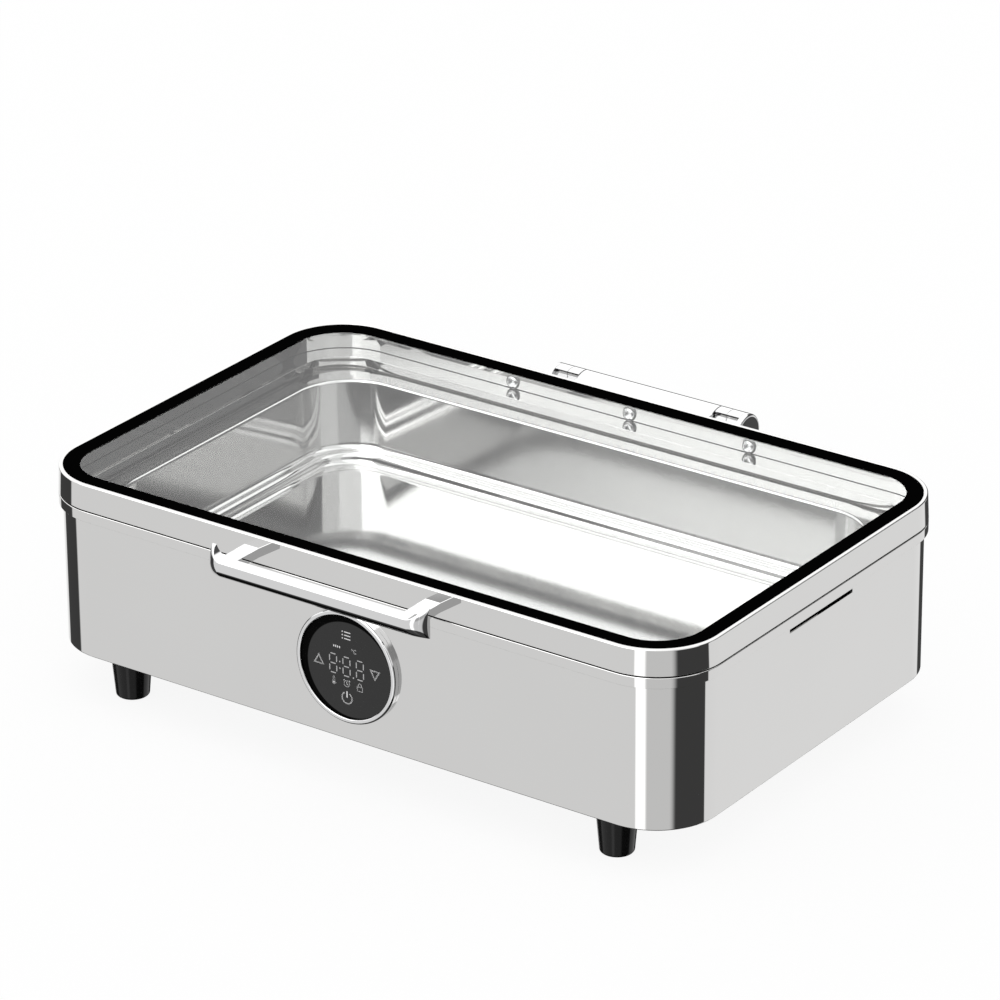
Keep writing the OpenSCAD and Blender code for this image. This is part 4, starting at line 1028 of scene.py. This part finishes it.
def panel_face():
    """Round black touch glass with an eased edge."""
    front, back = -GLASS_LOW[1], -GLASS_HIGH[1]
    points = [(0, back), (GLASS_RADIUS, back), (GLASS_RADIUS, front), (0, front)]
    skin = Skin()
    lathe(skin, filleted(points, [0, 0.1, 0.5, 0], False, 5), PANEL, FRONT, PANEL_TURNS)
    piece("panel_face", skin, "base", "black_glass", "panel_glass")


# What repeats


def repeat_tree():
    """Tree that puts one shape on every point, turned by the point's own angle, and its inputs' keys."""
    group = bpy.data.node_groups.new("repeat_on_points", "GeometryNodeTree")
    group.interface.new_socket("Geometry", in_out="OUTPUT", socket_type="NodeSocketGeometry")
    keys = {}
    for name, kind in (("Points", "Geometry"), ("Shape", "Object"), ("Turn", "Vector")):
        socket = group.interface.new_socket(name, in_out="INPUT", socket_type="NodeSocket" + kind)
        keys[name] = socket.identifier
    g = Graph(group)
    points, shape, turn = (g.node("NodeGroupInput", output=name) for name in keys)
    source = g.node("GeometryNodeObjectInfo", {"transform_space": "ORIGINAL"}, {"Object": shape}, "Geometry")
    angle = g.node("GeometryNodeInputNamedAttribute", {"data_type": "FLOAT"}, {"Name": "turn"}, "Attribute")
    spin = g.node("ShaderNodeVectorMath", {"operation": "SCALE"}, {0: turn, "Scale": angle})
    inputs = {"Points": points, "Instance": source, "Rotation": spin}
    put = g.node("GeometryNodeInstanceOnPoints", {}, inputs)
    real = g.node("GeometryNodeRealizeInstances", {}, {"Geometry": put})
    g.node("NodeGroupOutput", {}, {"Geometry": real})
    return group, keys


REPEAT, REPEAT_KEYS = repeat_tree()


def repeated(name, shape, points, axis=(0, 0, 1), turns=None, finish=None):
    """A plain mesh of one shape put on every point (millimetres)."""
    spots = bpy.data.meshes.new(name + "_points")
    spots.from_pydata([tuple(np.array(p) * MM) for p in points], [], [])
    angle = spots.attributes.new("turn", "FLOAT", "POINT")
    angle.data.foreach_set("value", np.array(turns if turns is not None else [0] * len(points), np.float32))
    holder = bpy.data.objects.new(name + "_points", spots)
    source = bpy.data.objects.new(name + "_shape", shape)
    for o in (holder, source):
        SCENE.collection.objects.link(o)
    modifier = holder.modifiers.new("repeat", "NODES")
    modifier.node_group = REPEAT
    for key, value in (("Shape", source), ("Turn", axis)):
        modifier[REPEAT_KEYS[key]] = value
    depsgraph = bpy.context.evaluated_depsgraph_get()
    mesh = bpy.data.meshes.new_from_object(holder.evaluated_get(depsgraph))
    mesh.name = name
    mesh.materials.clear()
    mesh.materials.append(finish)
    mesh.polygons.foreach_set("material_index", [0] * len(mesh.polygons))
    for o in (holder, source):
        bpy.data.objects.remove(o)
    return mesh


SOCKET_SHARE, SOCKET_DEPTH, SOCKET_RIM, SHANK_SHARE, SCREW_TURNS = 0.52, 0.6, 1.12, 0.48, 48


def screw_shape(head, height, length, way):
    """Button-head screw with a hexagon socket. Its head sits on the origin, and way points out of it."""
    socket, shank, turns = head * SOCKET_SHARE, head * SHANK_SHARE, SCREW_TURNS
    brow, crown = (head, height * 0.35), (head * 0.86, height * 0.8)
    line = [(shank, 0), (head, 0), brow, crown, (socket * SOCKET_RIM, height)]
    dome = filleted(line, [0, 0.25, height * 0.3, height * 0.5, 0], False, 5)
    skin = Skin()
    lathe(skin, dome, (0, 0, 0), way, turns)
    lathe(skin, straight_run([(0, -length), (shank, -length), (shank, 0)]), (0, 0, 0), way, turns)
    angles, spokes = spokes_round(way, turns)
    hexagon = socket * math.cos(math.pi / 6) / np.cos((angles % (math.pi / 3)) - math.pi / 6)
    rim = spokes * socket * SOCKET_RIM + way * height
    mouth = spokes * hexagon[:, None] + way * (height - 0.1)
    floor = spokes * hexagon[:, None] + way * (height - height * SOCKET_DEPTH)
    skin.grid(np.stack([rim, mouth]), np.zeros((2, turns, 3)) + way, True)
    skin.grid(np.stack([mouth, floor]), np.stack([-spokes, -spokes]), True)
    skin.face(floor, way)
    return skin.mesh("screw_shape")


def islands(node):
    """Lowest and highest corners of the separate solids in a CAD node, in millimetres."""
    mesh = NODES[node].data
    places = np.array([v.co for v in mesh.vertices]) / MM
    keys = {}
    names = [keys.setdefault(tuple(np.round(p, 3)), len(keys)) for p in places]
    parent = list(range(len(keys)))

    def root(i):
        while parent[i] != i:
            parent[i] = parent[parent[i]]
            i = parent[i]
        return i

    for polygon in mesh.polygons:
        first = root(names[polygon.vertices[0]])
        for v in polygon.vertices[1:]:
            parent[root(names[v])] = first
    groups = {}
    for i, p in zip(names, places):
        groups.setdefault(root(i), []).append(p)
    boxes = [(np.min(g, 0), np.max(g, 0)) for g in groups.values()]
    return sorted(boxes, key=lambda b: tuple(np.round(b[0], 2)))


def screw_set(name, node, body, slot, way, head_height, grow=1.0):
    """All screws of a CAD node, as button heads of the same size."""
    boxes = islands(node)
    way = np.array(way, float)
    axis = int(np.argmax(np.abs(way)))
    low, high = boxes[0]
    head = (np.delete(high - low, axis) / 2).max() * grow
    length = (high - low)[axis] - head_height
    spots = []
    for low, high in boxes:
        spot = (low + high) / 2
        face = high[axis] if way[axis] > 0 else low[axis]
        spot[axis] = face - way[axis] * head_height
        spots.append(spot)
    shape = screw_shape(head, head_height, length, way)
    piece(name, repeated(name, shape, spots, finish=FINISHES[slot]), body, slot, node)


FEET = ("foot_front_left", "foot_front_right", "foot_rear_left", "foot_rear_right")
FOOT_RADIUS, FOOT_HOLE, FOOT_HOLE_TOP, FOOT_BORE, FOOT_TURNS = 12.5, 5, 20, 2.3, 96


def feet():
    """Four tapered feet with a rounded lower edge and a sunk screw hole."""
    boxes = [span(n) for n in FEET]
    low, high = boxes[0]
    top_radius, height = (high[0] - low[0]) / 2, high[2] - low[2]
    line = [
        (FOOT_BORE, height), (FOOT_BORE, FOOT_HOLE_TOP), (FOOT_HOLE, FOOT_HOLE_TOP), (FOOT_HOLE, 0),
        (FOOT_RADIUS, 0), (top_radius, height),
    ]
    section = filleted(line, [0, 0, 0.6, 0.6, 2.4, 0.3], True, 8)
    skin = Skin()
    lathe(skin, section, (0, 0, 0), (0, 0, 1), FOOT_TURNS)
    spots = [((a[0] + b[0]) / 2, (a[1] + b[1]) / 2, a[2]) for a, b in boxes]
    mesh = repeated("feet", skin.mesh("foot_shape"), spots, finish=FINISHES["foot_plastic"])
    piece("feet", mesh, "base", "foot_plastic", *FEET)


# Marks on the touch glass

MARK_HALF = 0.05


def on_panel(u, v):
    """A place on the front of the glass, to the right of its middle and above it."""
    return (PANEL[0] + u, GLASS_LOW[1], PANEL[2] + v)


def stamp(skin, outline, middle=on_panel(0, 0)):
    """A flat filled mark."""
    x, y, z = middle
    front = [(x + u, y - MARK_HALF, z + v) for u, v in outline]
    back = [(x + u, y + MARK_HALF, z + v) for u, v in outline]
    skin.face(front, (0, -1, 0))
    skin.face(back, (0, 1, 0))
    centre = np.mean(front, 0)
    for i in range(len(front)):
        k = (i + 1) % len(front)
        way = (np.array(front[i]) + front[k]) / 2 - centre
        skin.face([front[i], front[k], back[k], back[i]], way * [1, 0, 1])


def stroke(skin, points, width, closed=False):
    """A line of even width."""
    p, moves = mitres(points, closed)
    for i in range(len(p) if closed else len(p) - 1):
        k = (i + 1) % len(p)
        a, b = moves[i] * width / 2, moves[k] * width / 2
        stamp(skin, [p[i] + a, p[k] + b, p[k] - b, p[i] - a])


def bow(centre, radius, start, end, count):
    """Points along an arc, angles in degrees."""
    angles = np.radians(np.linspace(start, end, count))
    return [(centre[0] + radius * math.cos(a), centre[1] + radius * math.sin(a)) for a in angles]


def disc(centre, radius, count=20):
    """Points round a circle."""
    return bow(centre, radius, 0, 360 * (count - 1) / count, count)


LINE = 1.1


def panel_marks():
    """List, up and down, heat, timer, lock and power marks, all plain signs."""
    skin = Skin()
    for row in (-2.6, 0, 2.6):
        stamp(skin, disc((-3.2, 24.6 + row), 0.55))
        stroke(skin, [(-1.6, 24.6 + row), (3.9, 24.6 + row)], 0.8)
    stroke(skin, [(-28.3, -3.2), (-20.7, -3.2), (-24.5, 3.4)], LINE, True)
    stroke(skin, [(28.8, 3.2), (21.2, 3.2), (25, -3.4)], LINE, True)
    for u in (-11, -9.3, -7.6, -5.9):
        stroke(skin, [(u, 13.2), (u, 14.8)], 0.9)
    stroke(skin, bow((5.2, 14.7), 0.6, 0, 342, 14), 0.4, True)
    stroke(skin, bow((7.8, 13.7), 1.4, 50, 310, 14), 0.55)
    bulb, tip = bow((-11.4, -14.9), 1.5, 118, 422, 16), bow((-11.4, -10.9), 0.7, 20, 160, 6)
    stroke(skin, bulb + [(-10.7, -10.9)] + tip + [(-12.1, -13.5)], 0.5, True)
    stamp(skin, disc((-11.4, -14.9), 0.75, 14))
    stroke(skin, disc((0, -13.3), 2.4, 28), 0.55, True)
    stroke(skin, [(0, -11.9), (0, -13.4), (1.2, -14.0)], 0.5)
    for side in (-1, 1):
        stroke(skin, [(side * 1.9, -10.4), (side * 2.9, -11.2)], 0.5)
    stroke(skin, [(9.2, -16.2), (13.8, -16.2), (13.8, -12.9), (9.2, -12.9)], 0.55, True)
    stroke(skin, [(10.1, -12.9), (10.1, -11.6)] + bow((11.5, -11.6), 1.4, 170, 10, 9) + [(12.9, -12.9)], 0.55)
    stroke(skin, bow((0, -24.6), 4.4, 122, 418, 40), LINE)
    stroke(skin, [(0, -19.2), (0, -24.2)], LINE)
    piece("panel_marks", skin, "base", "black_glass", finish=MARKS)


DIGIT_STEP, DIGIT_HALF_WIDTH, DIGIT_HALF_HEIGHT = 11.8, 3.1, 7.4
STROKE_LONG, STROKE_WIDE = 2.45, 0.42


def digit_strokes():
    """Three seven-stroke eights with their dots."""
    end, shoulder = STROKE_LONG, STROKE_LONG - STROKE_WIDE
    upper = [(-end, 0), (-shoulder, STROKE_WIDE), (shoulder, STROKE_WIDE)]
    skin = Skin()
    stamp(skin, upper + [(-u, -v) for u, v in upper], (0, 0, 0))
    spots, turns = [], []
    for place in (-1, 0, 1):
        middle = place * DIGIT_STEP
        for v in (-DIGIT_HALF_HEIGHT, 0, DIGIT_HALF_HEIGHT):
            spots.append(on_panel(middle, v))
            turns.append(0)
        for u in (-DIGIT_HALF_WIDTH, DIGIT_HALF_WIDTH):
            for v in (-DIGIT_HALF_HEIGHT / 2, DIGIT_HALF_HEIGHT / 2):
                spots.append(on_panel(middle + u, v))
                turns.append(math.pi / 2)
    mesh = repeated("digit_strokes", skin.mesh("stroke_shape"), spots, (0, 1, 0), turns, DIGITS)
    piece("digit_strokes", mesh, "base", "black_glass")
    dots = Skin()
    for u, v in ((-5.9, 2.6), (-5.9, -2.6), (5.9, -7.2)):
        stamp(dots, disc((u, v), 0.62, 14))
    piece("digit_dots", dots, "base", "black_glass", finish=DIGITS)


# Making


def dress_carried_nodes():
    """Finishes for the CAD nodes that stay."""
    slots = {row["node"]: row["material_slot"] for row in RECORD["subparts"]}
    for name, node in NODES.items():
        if not node.hide_render:
            node.data.materials.clear()
            node.data.materials.append(FINISHES[slots[name]])


shell_body()
water_well()
dish_pan()
lid_rim()
pane_seal()
lid_gasket()
lid_pane()
lift_handle()
handle_arms()
hinge_lid_half()
hinge_body_half()
hinge_caps()
panel_ring()
panel_face()
panel_marks()
digit_strokes()
feet()
screw_set("lid_screws", "hinge_arm_screws", "lid", "chrome_plate", (0, -1, 0), 4.4, 1.2)
screw_set("bracket_bolts", "bracket_screws", "base", "chrome_plate", (0, 1, 0), 2)
screw_set("cover_screws", "bottom_screws", "base", "zinc_steel", (0, 0, -1), 1.5)
screw_set("foot_bolts", "foot_screws", "base", "zinc_steel", (0, 0, -1), 3)
screw_set("socket_screws", "inlet_screws", "base", "zinc_steel", (0, 1, 0), 1.6)
dress_carried_nodes()
